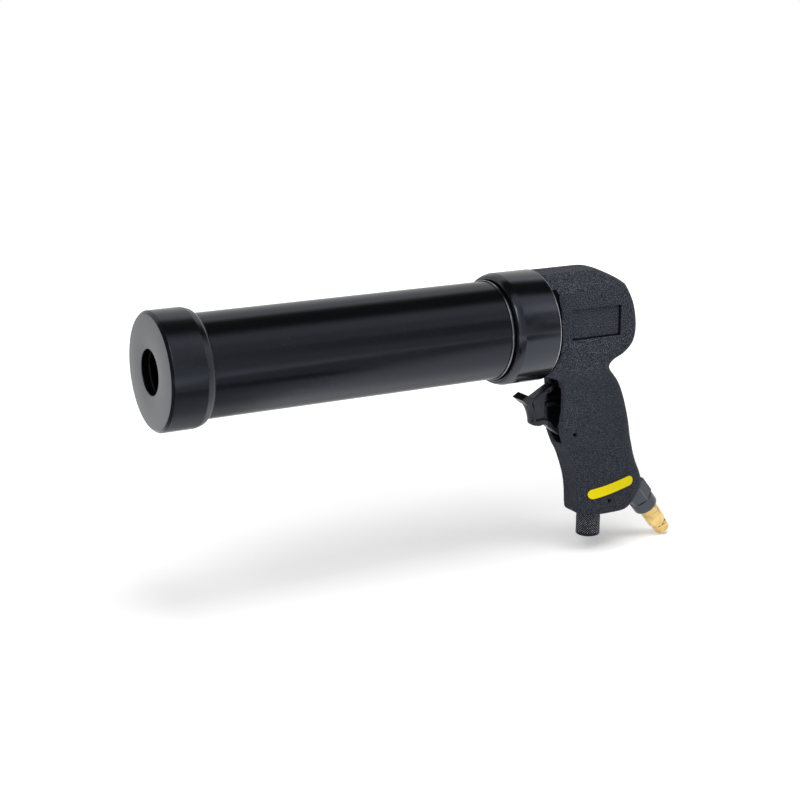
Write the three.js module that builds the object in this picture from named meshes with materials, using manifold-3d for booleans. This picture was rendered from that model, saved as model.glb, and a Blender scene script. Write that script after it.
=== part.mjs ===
// Compressed-air cartridge gun: a closed barrel clamped by a union nut to a cast head with a
// pistol grip, a trigger that opens a poppet valve, an air regulator and a plug-in air inlet.
// X runs back along the barrel's axis, Y is across and Z is up. The barrel's pieces are drawn
// from the front cap's face, and the pieces in the head and the grip from the head's front face.
// At the end the whole gun is moved so that its origin is the middle of its box, at the bottom.
// Millimetres.

import * as THREE from 'three';
import Module from 'manifold-3d';
import { mergeVertices } from 'three/addons/utils/BufferGeometryUtils.js';

const wasm = await Module();
wasm.setup();

// ---------------------------------------------------------------- driving dimensions

const ROUND = 48; // facets on the barrel's round parts
const SMALL_ROUND = 20; // facets on pins, bores and valve parts
const SEAL_SECTION = 6; // facets round the section of an O-ring
const FIT = 0.3; // clearance of a thread or a slip fit between large round parts
const SEAT = 0.1; // gap between two faces that bear on each other
const RUN = 0.12; // radial clearance of a small part that turns or slides
const OVERCUT = 2; // how far a cutter runs past the surface it opens

// Barrel
const BARREL_LENGTH = 232.8; // from the cap's face to the union collar's rear
const TUBE_R = 28;
const TUBE_WALL = 1.75;
const TUBE_FLANGE_HEIGHT = 2.1;
const TUBE_FLANGE_LENGTH = 2.4;

// Front cap, screwed over the tube's front end
const CAP_SKIRT_WALL = 3.6;
const CAP_LENGTH = 24.5;
const CAP_WALL = 4;
const CAP_EDGE = 1.7;
const CAP_EDGE_FACETS = 3;
const CAP_CHAMFER_LENGTH = 5;
const CAP_SKIRT_EDGE = 1.5; // the steeper last stretch of the chamfer
const CAP_REAR_WALL = 1.1;
const NOZZLE_HOLE_R = 12.2;
const NOZZLE_EDGE = 0.6;
const CUSHION_THICKNESS = 1.8;
const CUSHION_STEP = 1.2; // how far the cushion's hole and its chamfer stand back from the cap's

// Union collar
const COLLAR_LENGTH = 27.9;
const COLLAR_WALL = 1.7;
const COLLAR_LIP = 3.2;
const COLLAR_SHOULDER_LENGTH = 4.4;
const COLLAR_SHOULDER_DROP = 1.8;
const COLLAR_EDGE = 0.5;
const LIP_CLEARANCE = 0.8;
const SLIP_RING_THICKNESS = 1;
const SNAP_WIRE = 1.4;
const SNAP_RING_EDGE = 0.2;
const SNAP_RING_GAP = 1;

// Seals between the barrel and the head
const GASKET_THICKNESS = 1.9;
const GASKET_MARGIN = 0.6;
const CARTRIDGE_SEAL_LENGTH = 4.2;
const CARTRIDGE_SEAL_WIDTH = 7.25;
const CARTRIDGE_SEAL_CLEARANCE = 1;
const CARTRIDGE_SEAL_TAPER = 2.2;
const CARTRIDGE_SEAL_LAND = 1.2; // the straight band behind the taper
const CARTRIDGE_SEAL_EDGE = 1.5;

// Spigot, air chamber and the recess in the head's near side
const SPIGOT_EDGE = 1;
const NECK_DEPTH = 1.3;
const NECK_LENGTH = 3;
const NECK_FOOT = 0.4; // how far in front of the collar's rear the neck starts to draw in
const NECK_TAPER = 2;
const CHAMBER_R = 15;
const CHAMBER_DEPTH = 9;
const RECESS_DEPTH = 1.6;
const RECESS_FRONT = 15.9;
const RECESS_LENGTH = 33.8;
const RECESS_HEIGHT = 18;
const RECESS_MIDDLE = 1.5;

// Head and grip casting. It is a loft of level sections. Each station gives the height of a
// section, the x of its front and rear, its half width, the half width of its flat front, how
// deep its rounded rear is and how square that rounding is.
const CASTING_STATIONS = [
  { z: 30.6, front: 0, rear: 40.4, half: 9, flat: 8.9, depth: 8, power: 3.4 },
  { z: 29.6, front: 0, rear: 42.7, half: 10.9, flat: 10.8, depth: 9, power: 3.3 },
  { z: 26.2, front: 0, rear: 49.9, half: 15.4, flat: 15.3, depth: 11, power: 3.1 },
  { z: 22.6, front: 0, rear: 55.9, half: 18.9, flat: 18.8, depth: 13, power: 3 },
  { z: 19.6, front: 0, rear: 58.7, half: 19.5, flat: 19.4, depth: 14, power: 3.2 },
  { z: 10, front: 0, rear: 62.9, half: 19.5, flat: 19.4, depth: 14, power: 3.8 },
  { z: 0, front: 0, rear: 64.9, half: 19.5, flat: 19.4, depth: 14, power: 4 },
  { z: -8, front: 0, rear: 65, half: 19.4, flat: 19.3, depth: 14, power: 4 },
  { z: -14, front: 0, rear: 63.5, half: 19, flat: 18.9, depth: 14, power: 3.8 },
  { z: -18, front: 0, rear: 60.4, half: 18.5, flat: 18.3, depth: 14, power: 3.6 },
  { z: -20.6, front: 0, rear: 56.9, half: 18.1, flat: 17.7, depth: 14, power: 3.5 },
  { z: -22.4, front: 0, rear: 53.1, half: 17.8, flat: 17.2, depth: 14, power: 3.4 },
  { z: -24.4, front: 0.1, rear: 50.5, half: 17.5, flat: 16.6, depth: 14, power: 3.4 },
  { z: -26.8, front: 0.9, rear: 49.2, half: 17.1, flat: 15.6, depth: 15, power: 3.4 },
  { z: -29.4, front: 4.9, rear: 50, half: 16.7, flat: 14, depth: 16, power: 3.4 },
  { z: -31.8, front: 11.4, rear: 51.9, half: 16.3, flat: 12.2, depth: 17, power: 3.4 },
  { z: -34.4, front: 16.1, rear: 54.3, half: 15.9, flat: 11, depth: 18, power: 3.4 },
  { z: -40, front: 17.2, rear: 58.4, half: 15.3, flat: 10.7, depth: 19, power: 3.4 },
  { z: -50, front: 17.2, rear: 62.6, half: 14.9, flat: 10.6, depth: 20, power: 3.4 },
  { z: -63, front: 17.9, rear: 66.3, half: 14.7, flat: 10.5, depth: 21, power: 3.4 },
  { z: -74, front: 20.9, rear: 68.4, half: 14.6, flat: 9.2, depth: 22, power: 3.4 },
  { z: -80, front: 23.7, rear: 69.9, half: 14.6, flat: 8, depth: 22, power: 3.4 },
  { z: -86, front: 26, rear: 71.5, half: 14.6, flat: 7.7, depth: 22, power: 3.4 },
  { z: -92, front: 28.1, rear: 73.7, half: 14.7, flat: 7.6, depth: 22, power: 3.4 },
  { z: -98, front: 29.7, rear: 76.5, half: 14.8, flat: 7.5, depth: 23, power: 3.4 },
  { z: -104, front: 30.6, rear: 77.7, half: 14.9, flat: 7.4, depth: 23, power: 3.4 },
  { z: -110, front: 31, rear: 75.1, half: 15, flat: 7.3, depth: 22, power: 3.6 },
  { z: -114.6, front: 31.2, rear: 71.1, half: 15, flat: 7.2, depth: 20, power: 4 },
  { z: -117.6, front: 31.6, rear: 67.3, half: 14.8, flat: 6.9, depth: 18, power: 4.4 },
  { z: -118.9, front: 32.5, rear: 64.5, half: 14, flat: 6.3, depth: 16, power: 4.4 },
];
const RINGS_PER_STATION = 2;
const FRONT_CORNER_TURN = 0.42; // radians by which the side already leans in at the flat front
const FRONT_QUARTER_FACETS = 4;
const REAR_QUARTER_FACETS = 7;

// Trigger and its slot. The trigger's outlines are drawn from its pivot.
const PIVOT = new THREE.Vector2(24.8, -66.7);
const PIVOT_PIN_R = 1.5;
const PIVOT_EYE_WALL = 2.7;
const TRIGGER_WIDTH = 7;
const HORN_WIDTH = 10;
const TRIGGER_POCKET_DEPTH = 1.4;
const TRIGGER_REAR = -15;
const HORN_ROOT = [[-29.5, 26.2], [-25, 23.4], [-27.2, 18.7]];
const HORN_TIP = [[-28.9, 19.8], [-31.1, 21.8], [-33.6, 23.8]];
const ARM_TOP = [[-24.4, 22.7], [-13.4, 28.7], [-10.6, 29.7], [-9.8, 26.7]];
const ARM_INSIDE_HEIGHTS = [24.5, 20.7]; // where the arm's curve turns down into the rear face
const REAR_STEP = [[TRIGGER_REAR, 10.3], [-17.9, 10.1], [-17.9, 9.1]];
const STRAP_TOP = [[-11.6, 7.8], [-9.6, 5.4], [-7.4, 3], [-3.6, 1.7]];
const STRAP_UNDER = [[-2.6, -2.9], [-6.2, -1.2], [-9.5, 1.5], [-13.1, 4.2], [-14.7, 5.9]];
const STRAP_ROOT = [-13, 8.6]; // where the trigger narrows to the strap's width
const FINGER_FOOT = [[-16.6, 6.5], [-19.3, 5.1], [-22.6, 6.5], [-24.9, 7.5], [-24.5, 9.7]];
const FINGER_FACE = [[-25.3, 13.6], [-26.8, 17], HORN_TIP[0], HORN_TIP[1]];
const POCKET_EDGE = [[-24.4, 21.3], [-13, 27.5], [-13, 10.2], [-21.9, 9.1]];
const POCKET_FRONT = [[-22.3, 15.2], [-25, 19.4]];
const EYE_SIDE_GAP = 0.7;
const TRIGGER_SIDE_GAP = 1.2;
const EYE_REAR_GAP = 1.4;
const SLOT_WIDTH = 13.8;
const SLOT_FOOT_WIDTH = 7;
const SLOT_TAPER = [-53, -63]; // where the slot starts to narrow, and where it has its foot's width
const SLOT_NECK_BOTTOM = -38.6;
const SLOT_NECK_OVERLAP = 1;
const SLOT_ROOF = -30.8;
const SLOT_ROOF_ROUND = 2.5;
const SLOT_SLOPE = new THREE.Vector2(8, 2.2); // run and fall of the slot's sloping floor
const SLOT_CORNER = new THREE.Vector2(2.5, 1.4);
const PIN_RECESS = 0.9;
const PIN_WALL = 0.6;
const PIN_SLIT = 0.5;

// Valve, on an axis along X above the pivot, in a bore that starts in the slot's floor
const VALVE_HEIGHT = 17.7;
const VALVE_BORE_R = 5;
const VALVE_BORE_DEPTH = 23;
const STEM_R = 2;
const STEM_GAP = 0.35;
const BUSH_FLANGE_WALL = 1.2;
const BUSH_FLANGE_LENGTH = 1.4;
const BUSH_FLANGE_EDGE = 0.5;
const BUSH_DEPTH = 4.5;
const BUSH_SEAL_REAR_WALL = 1.7;
const PORT_LENGTH = 5.2; // the space between the bush and the seat
const SEAT_LENGTH = 2;
const SEAT_GAP = 0.9; // from the stem to the seat's hole
const SEAT_LIP = 0.3;
const SEAT_LIP_HEIGHT = 0.4;
const POPPET_LAP = 0.7; // how far the poppet covers the seat past its hole
const POPPET_LENGTH = 2.4;
const POPPET_SEAL = 1;
const PEG_LENGTH = 1.7;
const PEG_EDGE = 0.5;
const SPRING_WIRE = 0.7;
const SPRING_R = 3.3;
const SPRING_TURNS = 5;
const SPRING_STEPS = 10; // steps along one turn of the coil

// Air regulator, on an upright axis in the grip's foot
const REGULATOR_X = 44.5;
const SPINDLE_R = 6;
const SPINDLE_LENGTH = 55.7;
const THROTTLE_LENGTH = 12.5;
const THROTTLE_OFFSET = 1; // how far past the axis the throttle's flat lies
const KNOB_OVERHANG = 1.3;
const KNOB_LENGTH = 16;
const KNOB_EDGE = 1.6;
const KNOB_TOP_EDGE = 0.5;
const PIN_GROOVE_DEPTH = 2.55;
const REGULATOR_PIN_R = 1.4;
const REGULATOR_PIN_HEIGHT = 8;
const REGULATOR_SEAL_HEIGHTS = { regulator_seal_upper: 38.4, regulator_seal_lower: 15.9 };
const SEAL_WIRE = 1.5;

// Air passages
const PASSAGE_R = 2;

// Air inlet, on an axis that leaves the grip's heel downwards and back
const INLET_END = new THREE.Vector2(88, -124.2);
const INLET_ANGLE = THREE.MathUtils.degToRad(51.7);
const BUSHING_R = 7.8;
const BUSHING_CORNER_R = 8.7;
const BUSHING_FLATS = 15.4;
const BUSHING_BODY = 20;
const BUSHING_HEX = 12;
const BUSHING_THREAD_R = 6.6;
const BUSHING_THREAD = 12;
const BUSHING_EDGE = 1.3;
const BUSHING_EDGE_SHARE = 0.35;
const THREAD_EDGE = 1;
const AIR_BORE_R = 2.8;
const PLUG_R = 5.8;
const PLUG_BODY = 15.2;
const PLUG_NECK_DEPTH = 1.2;
const PLUG_NECK = 2;
const PLUG_TIP_STEP = 0.6;
const PLUG_TIP = 5;
const PLUG_TIP_EDGE = 1;
const PLUG_EDGE = 0.5;
const PLUG_THREAD_WALL = 2.1;
const PLUG_THREAD = 7;

// Label on the grip
const LABEL_MIDDLE = new THREE.Vector2(50.9, -102.9);
const LABEL_LENGTH = 24.6; // between the centres of its round ends
const LABEL_TURN = THREE.MathUtils.degToRad(12.7);
const LABEL_R = 3.5;
const LABEL_THICKNESS = 0.3;

// ---------------------------------------------------------------- places that follow

const tubeBoreR = TUBE_R - TUBE_WALL;
const flangeR = TUBE_R + TUBE_FLANGE_HEIGHT;
const capBoreR = TUBE_R + FIT;
const collarFront = BARREL_LENGTH - COLLAR_LENGTH;
const lipR = TUBE_R + LIP_CLEARANCE;
const lipRear = collarFront + COLLAR_LIP;
const flangeFront = lipRear + SLIP_RING_THICKNESS + 2 * SEAT;
const tubeRear = flangeFront + TUBE_FLANGE_LENGTH;
const tubeFront = CAP_WALL + CUSHION_THICKNESS + SEAT;
const headFace = BARREL_LENGTH + FIT;

const spigotR = flangeR + SEAT;
const collarBoreR = spigotR + FIT;
const collarR = collarBoreR + COLLAR_WALL;
const neckR = spigotR - NECK_DEPTH;
const spigotFront = tubeRear + GASKET_THICKNESS + 2 * SEAT - headFace;
const spigotRear = -FIT - NECK_LENGTH;
const gripBottom = CASTING_STATIONS[CASTING_STATIONS.length - 1].z;
const headHalf = Math.max(...CASTING_STATIONS.map((station) => station.half));

const eyeR = PIVOT_PIN_R + PIVOT_EYE_WALL;
const slotFloor = PIVOT.x + eyeR + EYE_REAR_GAP;
const slotBottom = PIVOT.y - eyeR - EYE_REAR_GAP;
const slotNeckWidth = TRIGGER_WIDTH + 2 * TRIGGER_SIDE_GAP;
const eyeWidth = SLOT_FOOT_WIDTH - 2 * EYE_SIDE_GAP;

const valveZ = PIVOT.y + VALVE_HEIGHT;
const valveBoreEnd = slotFloor + VALVE_BORE_DEPTH;
const bushEnd = slotFloor + BUSH_DEPTH;
const seatFront = bushEnd + PORT_LENGTH;
const seatRear = seatFront + SEAT_LENGTH;
const seatHoleR = STEM_R + SEAT_GAP;
const poppetR = seatHoleR + POPPET_LAP;
const poppetFront = seatRear + SEAT + POPPET_SEAL + SEAT;
const poppetRear = poppetFront + POPPET_LENGTH;
const portX = (bushEnd + seatFront) / 2;

const knobTop = gripBottom - FIT;
const spindleTop = knobTop + SPINDLE_LENGTH;
const spindleBoreR = SPINDLE_R + RUN;
const spindleBoreTop = spindleTop + 1;
const knobR = SPINDLE_R + KNOB_OVERHANG;
const pinGrooveR = SPINDLE_R - PIN_GROOVE_DEPTH;
const regulatorPinCentre = new THREE.Vector2(
  REGULATOR_X + pinGrooveR + RUN + REGULATOR_PIN_R,
  gripBottom + REGULATOR_PIN_HEIGHT,
);
const airBoreReach = (INLET_END.x - REGULATOR_X) / Math.cos(INLET_ANGLE) + AIR_BORE_R / 2;

// ---------------------------------------------------------------- solids

/** Turns a closed geometry into a solid that can be cut and joined. */
function solid(geometry) {
  const bare = geometry.clone();
  bare.deleteAttribute('normal');
  bare.deleteAttribute('uv');
  const merged = mergeVertices(bare, 1e-4);
  return new wasm.Manifold(new wasm.Mesh({
    numProp: 3,
    vertProperties: new Float32Array(merged.attributes.position.array),
    triVerts: new Uint32Array(merged.index.array),
  }));
}

/** Turns a solid back into a geometry. */
function geometryOf(body) {
  const mesh = body.getMesh();
  const geometry = new THREE.BufferGeometry();
  geometry.setAttribute('position', new THREE.BufferAttribute(mesh.vertProperties, 3));
  geometry.setIndex(new THREE.BufferAttribute(mesh.triVerts, 1));
  geometry.computeVertexNormals();
  return geometry;
}

/** Revolves [radius, distance] points about the X axis. A profile with a hole closes on itself. */
function turned(profile, facets = ROUND) {
  const points = profile.map(([radius, along]) => new THREE.Vector2(radius, along));
  if (profile[0][0] > 0) {
    points.push(points[0].clone());
  }
  return new THREE.LatheGeometry(points, facets).rotateZ(-Math.PI / 2);
}

/** Revolves [radius, height] points about the Z axis at a place. */
function turnedUpright(profile, x, facets = SMALL_ROUND) {
  return turned(profile, facets).rotateY(-Math.PI / 2).translate(x, 0, 0);
}

/** A round bar along X from one distance to another. */
function barAlongX(radius, from, to, z = 0, facets = SMALL_ROUND) {
  return turned([[0, from], [radius, from], [radius, to], [0, to]], facets).translate(0, 0, z);
}

/** A round bar along Z from one height to another. */
function barUpright(radius, from, to, x, facets = SMALL_ROUND) {
  return turnedUpright([[0, from], [radius, from], [radius, to], [0, to]], x, facets);
}

/** A round bar across the gun, centred on its middle plane. */
function barAcross(radius, length, centre, facets = SMALL_ROUND) {
  const bar = new THREE.CylinderGeometry(radius, radius, length, facets);
  return bar.translate(centre.x, 0, centre.y);
}

/** Extrudes an outline drawn in X and Z across the gun, between two values of Y. */
function across(shape, from, to, curveSegments = 6) {
  const geometry = new THREE.ExtrudeGeometry(shape, {
    depth: to - from,
    bevelEnabled: false,
    curveSegments,
  });
  return geometry.rotateX(Math.PI / 2).translate(0, to, 0);
}

/** A box between two corners. */
function block(low, high) {
  const box = new THREE.BoxGeometry(high[0] - low[0], high[1] - low[1], high[2] - low[2]);
  return box.translate((low[0] + high[0]) / 2, (low[1] + high[1]) / 2, (low[2] + high[2]) / 2);
}

/** Turns a geometry drawn along X onto the inlet's axis, with x = 0 at the bushing's end face. */
function onInletAxis(geometry) {
  return geometry.rotateY(INLET_ANGLE).translate(INLET_END.x, 0, INLET_END.y);
}

/** A rubber ring of round section about the X axis. */
function sealRing(radius, wire, along) {
  const profile = [];
  for (let i = 0; i < SEAL_SECTION; i += 1) {
    const turn = (i / SEAL_SECTION) * 2 * Math.PI;
    profile.push([radius + (wire / 2) * Math.cos(turn), along + (wire / 2) * Math.sin(turn)]);
  }
  return turned(profile, SMALL_ROUND);
}

/** Points of a quarter round between a face and a side, from the face outwards. */
function quarterRound(side, face, radius, facets, inward) {
  const points = [];
  for (let i = 0; i <= facets; i += 1) {
    const turn = (i / facets) * (Math.PI / 2);
    points.push([side - radius + radius * Math.sin(turn), face + inward * radius * (1 - Math.cos(turn))]);
  }
  return points;
}

/** Joins closed rings of equal length into a skin with flat ends. */
function loft(rings) {
  const count = rings[0].length;
  const positions = rings.flat().flatMap((point) => [point.x, point.y, point.z]);
  const faces = [];
  for (let ring = 0; ring + 1 < rings.length; ring += 1) {
    for (let i = 0; i < count; i += 1) {
      const a = ring * count + i;
      const b = ring * count + ((i + 1) % count);
      faces.push(a, a + count, b, b, a + count, b + count);
    }
  }
  const last = (rings.length - 1) * count;
  for (let i = 1; i + 1 < count; i += 1) {
    faces.push(0, i, i + 1);
    faces.push(last, last + i + 1, last + i);
  }
  const geometry = new THREE.BufferGeometry();
  geometry.setAttribute('position', new THREE.Float32BufferAttribute(positions, 3));
  geometry.setIndex(faces);
  return geometry;
}

// ---------------------------------------------------------------- casting

/** One level section of the casting, grown outwards by a margin. */
function castingRing(station, margin) {
  const { z, power } = station;
  const front = station.front - margin;
  const rear = station.rear + margin;
  const half = station.half + margin;
  const flat = station.flat + margin * 0.5;
  const depth = station.depth + margin;
  const widest = rear - depth;
  const lean = Math.sin(FRONT_CORNER_TURN);
  const side = [];
  for (let i = 0; i <= FRONT_QUARTER_FACETS; i += 1) {
    const share = i / FRONT_QUARTER_FACETS;
    const turn = FRONT_CORNER_TURN + share * (Math.PI / 2 - FRONT_CORNER_TURN);
    const x = widest - (widest - front) * (Math.cos(turn) / Math.cos(FRONT_CORNER_TURN));
    const y = flat + (half - flat) * ((Math.sin(turn) - lean) / (1 - lean));
    side.push([x, y]);
  }
  for (let i = 1; i < REAR_QUARTER_FACETS; i += 1) {
    const turn = (1 - i / REAR_QUARTER_FACETS) * (Math.PI / 2);
    const x = widest + depth * Math.cos(turn) ** (2 / power);
    const y = half * Math.sin(turn) ** (2 / power);
    side.push([x, y]);
  }
  const nearSide = side.map(([x, y]) => new THREE.Vector3(x, -y, z));
  const farSide = side.map(([x, y]) => new THREE.Vector3(x, y, z)).reverse();
  return [...nearSide, new THREE.Vector3(rear, 0, z), ...farSide];
}

/** The sections between two stations, on a smooth curve through the stations round them. */
function castingStations() {
  const keys = Object.keys(CASTING_STATIONS[0]);
  const last = CASTING_STATIONS.length - 1;
  const stations = [];
  for (let i = 0; i < last; i += 1) {
    const around = [i - 1, i, i + 1, i + 2].map((k) => CASTING_STATIONS[THREE.MathUtils.clamp(k, 0, last)]);
    for (let step = 0; step < RINGS_PER_STATION; step += 1) {
      const share = step / RINGS_PER_STATION;
      stations.push(Object.fromEntries(keys.map((key) => {
        const [a, b, c, d] = around.map((station) => station[key]);
        const slopeIn = (c - a) / 2;
        const slopeOut = (d - b) / 2;
        const cubic = (2 * b - 2 * c + slopeIn + slopeOut) * share ** 3;
        const square = (-3 * b + 3 * c - 2 * slopeIn - slopeOut) * share ** 2;
        return [key, cubic + square + slopeIn * share + b];
      })));
    }
  }
  stations.push(CASTING_STATIONS[last]);
  return stations;
}

/** The outer skin of head and grip, grown outwards by a margin. */
function castingSkin(margin = 0) {
  return solid(loft(castingStations().map((station) => castingRing(station, margin))));
}

/** The trigger slot's outline: open to the front, with a floor that slopes down to the front. */
function slotShape() {
  const shape = new THREE.Shape();
  shape.moveTo(-OVERCUT, SLOT_NECK_BOTTOM);
  shape.lineTo(slotFloor, SLOT_NECK_BOTTOM);
  shape.lineTo(slotFloor, slotBottom + SLOT_CORNER.y);
  shape.lineTo(slotFloor - SLOT_CORNER.x, slotBottom);
  shape.lineTo(slotFloor - SLOT_CORNER.x - SLOT_SLOPE.x, slotBottom - SLOT_SLOPE.y);
  shape.lineTo(-OVERCUT, slotBottom - SLOT_SLOPE.y);
  return shape;
}

/** The slot's outline from the front: wide round the valve, narrow round the trigger's eye. */
function slotFrontShape() {
  const [taperTop, taperEnd] = SLOT_TAPER;
  const low = slotBottom - SLOT_SLOPE.y - OVERCUT;
  const nearSide = [
    [-SLOT_WIDTH / 2, SLOT_NECK_BOTTOM],
    [-SLOT_WIDTH / 2, taperTop],
    [-SLOT_FOOT_WIDTH / 2, taperEnd],
    [-SLOT_FOOT_WIDTH / 2, low],
  ];
  const farSide = nearSide.map(([y, z]) => [-y, z]).reverse();
  return new THREE.Shape([...nearSide, ...farSide].map(([y, z]) => new THREE.Vector2(y, z)));
}

/** The slot below its neck. */
function slotBody() {
  const fromFront = new THREE.ExtrudeGeometry(slotFrontShape(), {
    depth: slotFloor + 2 * OVERCUT,
    bevelEnabled: false,
  });
  fromFront.rotateX(Math.PI / 2).rotateZ(Math.PI / 2).translate(-OVERCUT, 0, 0);
  return solid(across(slotShape(), -SLOT_WIDTH / 2 - OVERCUT, SLOT_WIDTH / 2 + OVERCUT))
    .intersect(solid(fromFront));
}

/** The narrower top of the slot, where only the trigger's arm reaches, with a rounded roof. */
function slotNeckShape() {
  const shape = new THREE.Shape();
  const corner = new THREE.Vector2(slotFloor - SLOT_ROOF_ROUND, SLOT_ROOF - SLOT_ROOF_ROUND);
  shape.moveTo(-OVERCUT, SLOT_ROOF);
  shape.lineTo(corner.x, SLOT_ROOF);
  shape.absarc(corner.x, corner.y, SLOT_ROOF_ROUND, Math.PI / 2, 0, true);
  shape.lineTo(slotFloor, SLOT_NECK_BOTTOM - SLOT_NECK_OVERLAP);
  shape.lineTo(-OVERCUT, SLOT_NECK_BOTTOM - SLOT_NECK_OVERLAP);
  return shape;
}

/** The recess for a plate in the near side of the head. */
function recessBlock() {
  return block(
    [RECESS_FRONT, -headHalf - OVERCUT, RECESS_MIDDLE - RECESS_HEIGHT / 2],
    [RECESS_FRONT + RECESS_LENGTH, -headHalf + RECESS_DEPTH, RECESS_MIDDLE + RECESS_HEIGHT / 2],
  );
}

/** Head and grip, with the spigot that the union collar screws onto. */
function handleCasting() {
  const spigot = solid(turned([
    [0, spigotFront],
    [spigotR - SPIGOT_EDGE, spigotFront],
    [spigotR, spigotFront + SPIGOT_EDGE],
    [spigotR, spigotRear],
    [neckR, spigotRear + SPIGOT_EDGE],
    [neckR, -FIT - NECK_FOOT],
    [neckR - NECK_TAPER, SPIGOT_EDGE],
    [0, SPIGOT_EDGE],
  ]));
  const pinHoleLength = 2 * headHalf + OVERCUT;
  const cuts = [
    across(slotNeckShape(), -slotNeckWidth / 2, slotNeckWidth / 2),
    recessBlock(),
    barAlongX(CHAMBER_R, spigotFront - OVERCUT, spigotFront + CHAMBER_DEPTH),
    barAlongX(PASSAGE_R, spigotFront, portX + PASSAGE_R),
    barUpright(PASSAGE_R, valveZ, 0, portX),
    barAlongX(VALVE_BORE_R + RUN, slotFloor - OVERCUT, valveBoreEnd, valveZ),
    barUpright(PASSAGE_R, spindleTop, valveZ, REGULATOR_X),
    barUpright(spindleBoreR, gripBottom - OVERCUT, spindleBoreTop, REGULATOR_X),
    barAcross(PIVOT_PIN_R + SEAT, pinHoleLength, PIVOT),
    barAcross(REGULATOR_PIN_R + SEAT, pinHoleLength, regulatorPinCentre),
    onInletAxis(barAlongX(BUSHING_CORNER_R + FIT, -BUSHING_BODY - FIT, BUSHING_BODY)),
    onInletAxis(barAlongX(BUSHING_THREAD_R + FIT, -BUSHING_BODY - BUSHING_THREAD - FIT, 0)),
    onInletAxis(barAlongX(AIR_BORE_R, -airBoreReach, -BUSHING_BODY)),
  ];
  const uncut = castingSkin().add(spigot).subtract(slotBody());
  return cuts.reduce((body, cut) => body.subtract(solid(cut)), uncut);
}

/** A pill-shaped label, cut from a thin layer that follows the grip's side. */
function gripLabel() {
  const half = new THREE.Vector2(LABEL_LENGTH / 2, 0).rotateAround(new THREE.Vector2(), LABEL_TURN);
  const low = LABEL_MIDDLE.clone().sub(half);
  const high = LABEL_MIDDLE.clone().add(half);
  const quarter = Math.PI / 2;
  const shape = new THREE.Shape();
  shape.absarc(low.x, low.y, LABEL_R, LABEL_TURN + quarter, LABEL_TURN + 3 * quarter, false);
  shape.absarc(high.x, high.y, LABEL_R, LABEL_TURN - quarter, LABEL_TURN + quarter, false);
  const layer = castingSkin(SEAT + LABEL_THICKNESS).subtract(castingSkin(SEAT));
  return layer.intersect(solid(across(shape, -headHalf, 0, 10)));
}

// ---------------------------------------------------------------- barrel

/** The tube with its turned rear flange. */
function barrelTube() {
  return turned([
    [tubeBoreR, tubeFront],
    [TUBE_R, tubeFront],
    [TUBE_R, flangeFront],
    [flangeR, flangeFront],
    [flangeR, tubeRear],
    [tubeBoreR, tubeRear],
  ]);
}

/** The front cap, with a rounded front edge and a tapered skirt. */
function frontCap() {
  const outer = capBoreR + CAP_SKIRT_WALL;
  const rear = capBoreR + CAP_REAR_WALL;
  return turned([
    [NOZZLE_HOLE_R, NOZZLE_EDGE],
    [NOZZLE_HOLE_R + NOZZLE_EDGE, 0],
    ...quarterRound(outer, 0, CAP_EDGE, CAP_EDGE_FACETS, 1),
    [outer, CAP_LENGTH - CAP_CHAMFER_LENGTH],
    [rear + CAP_SKIRT_EDGE, CAP_LENGTH - CAP_SKIRT_EDGE],
    [rear, CAP_LENGTH],
    [capBoreR + NOZZLE_EDGE, CAP_LENGTH],
    [capBoreR, CAP_LENGTH - NOZZLE_EDGE],
    [capBoreR, CAP_WALL],
    [NOZZLE_HOLE_R, CAP_WALL],
  ]);
}

/** The ring inside the cap that takes the cartridge's shoulder. */
function capCushion() {
  const front = CAP_WALL + SEAT / 2;
  const rear = tubeFront - SEAT / 2;
  const hole = NOZZLE_HOLE_R + CUSHION_STEP;
  return turned([
    [hole, front],
    [TUBE_R, front],
    [TUBE_R, rear],
    [hole + CUSHION_STEP, rear],
    [hole, rear - CUSHION_STEP / 2],
  ]);
}

/** The union nut: a lip behind the tube's flange and a threaded skirt over the spigot. */
function unionCollar() {
  return turned([
    [lipR, collarFront + COLLAR_EDGE],
    [lipR + COLLAR_EDGE, collarFront],
    [collarR - COLLAR_SHOULDER_DROP, collarFront],
    [collarR - 0.4 * COLLAR_SHOULDER_DROP, collarFront + 0.4 * COLLAR_SHOULDER_LENGTH],
    [collarR, collarFront + COLLAR_SHOULDER_LENGTH],
    [collarR, BARREL_LENGTH - COLLAR_EDGE],
    [collarR - COLLAR_EDGE, BARREL_LENGTH],
    [collarBoreR + COLLAR_EDGE, BARREL_LENGTH],
    [collarBoreR, BARREL_LENGTH - COLLAR_EDGE],
    [collarBoreR, lipRear],
    [lipR, lipRear],
  ]);
}

/** The thrust ring that lets the union nut turn on the flange. */
function slipRing() {
  const front = lipRear + SEAT;
  const rear = front + SLIP_RING_THICKNESS;
  const inner = TUBE_R + SEAT;
  return turned([[inner, front], [flangeR, front], [flangeR, rear], [inner, rear]]);
}

/** The wire ring on the tube that stops the union nut from running forward. */
function snapRing() {
  const rear = collarFront - SNAP_RING_GAP;
  const inner = TUBE_R + SEAT;
  const outer = inner + SNAP_WIRE / 2;
  return turned([
    [inner, rear - SNAP_WIRE],
    [outer - SNAP_RING_EDGE, rear - SNAP_WIRE],
    [outer, rear - SNAP_WIRE / 2],
    [outer - SNAP_RING_EDGE, rear],
    [inner, rear],
  ]);
}

/** The flat seal between the tube's flange and the spigot. */
function barrelGasket() {
  const front = tubeRear + SEAT;
  const rear = front + GASKET_THICKNESS;
  const outer = flangeR - GASKET_MARGIN;
  return turned([[tubeBoreR, front], [outer, front], [outer, rear], [tubeBoreR, rear]]);
}

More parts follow.
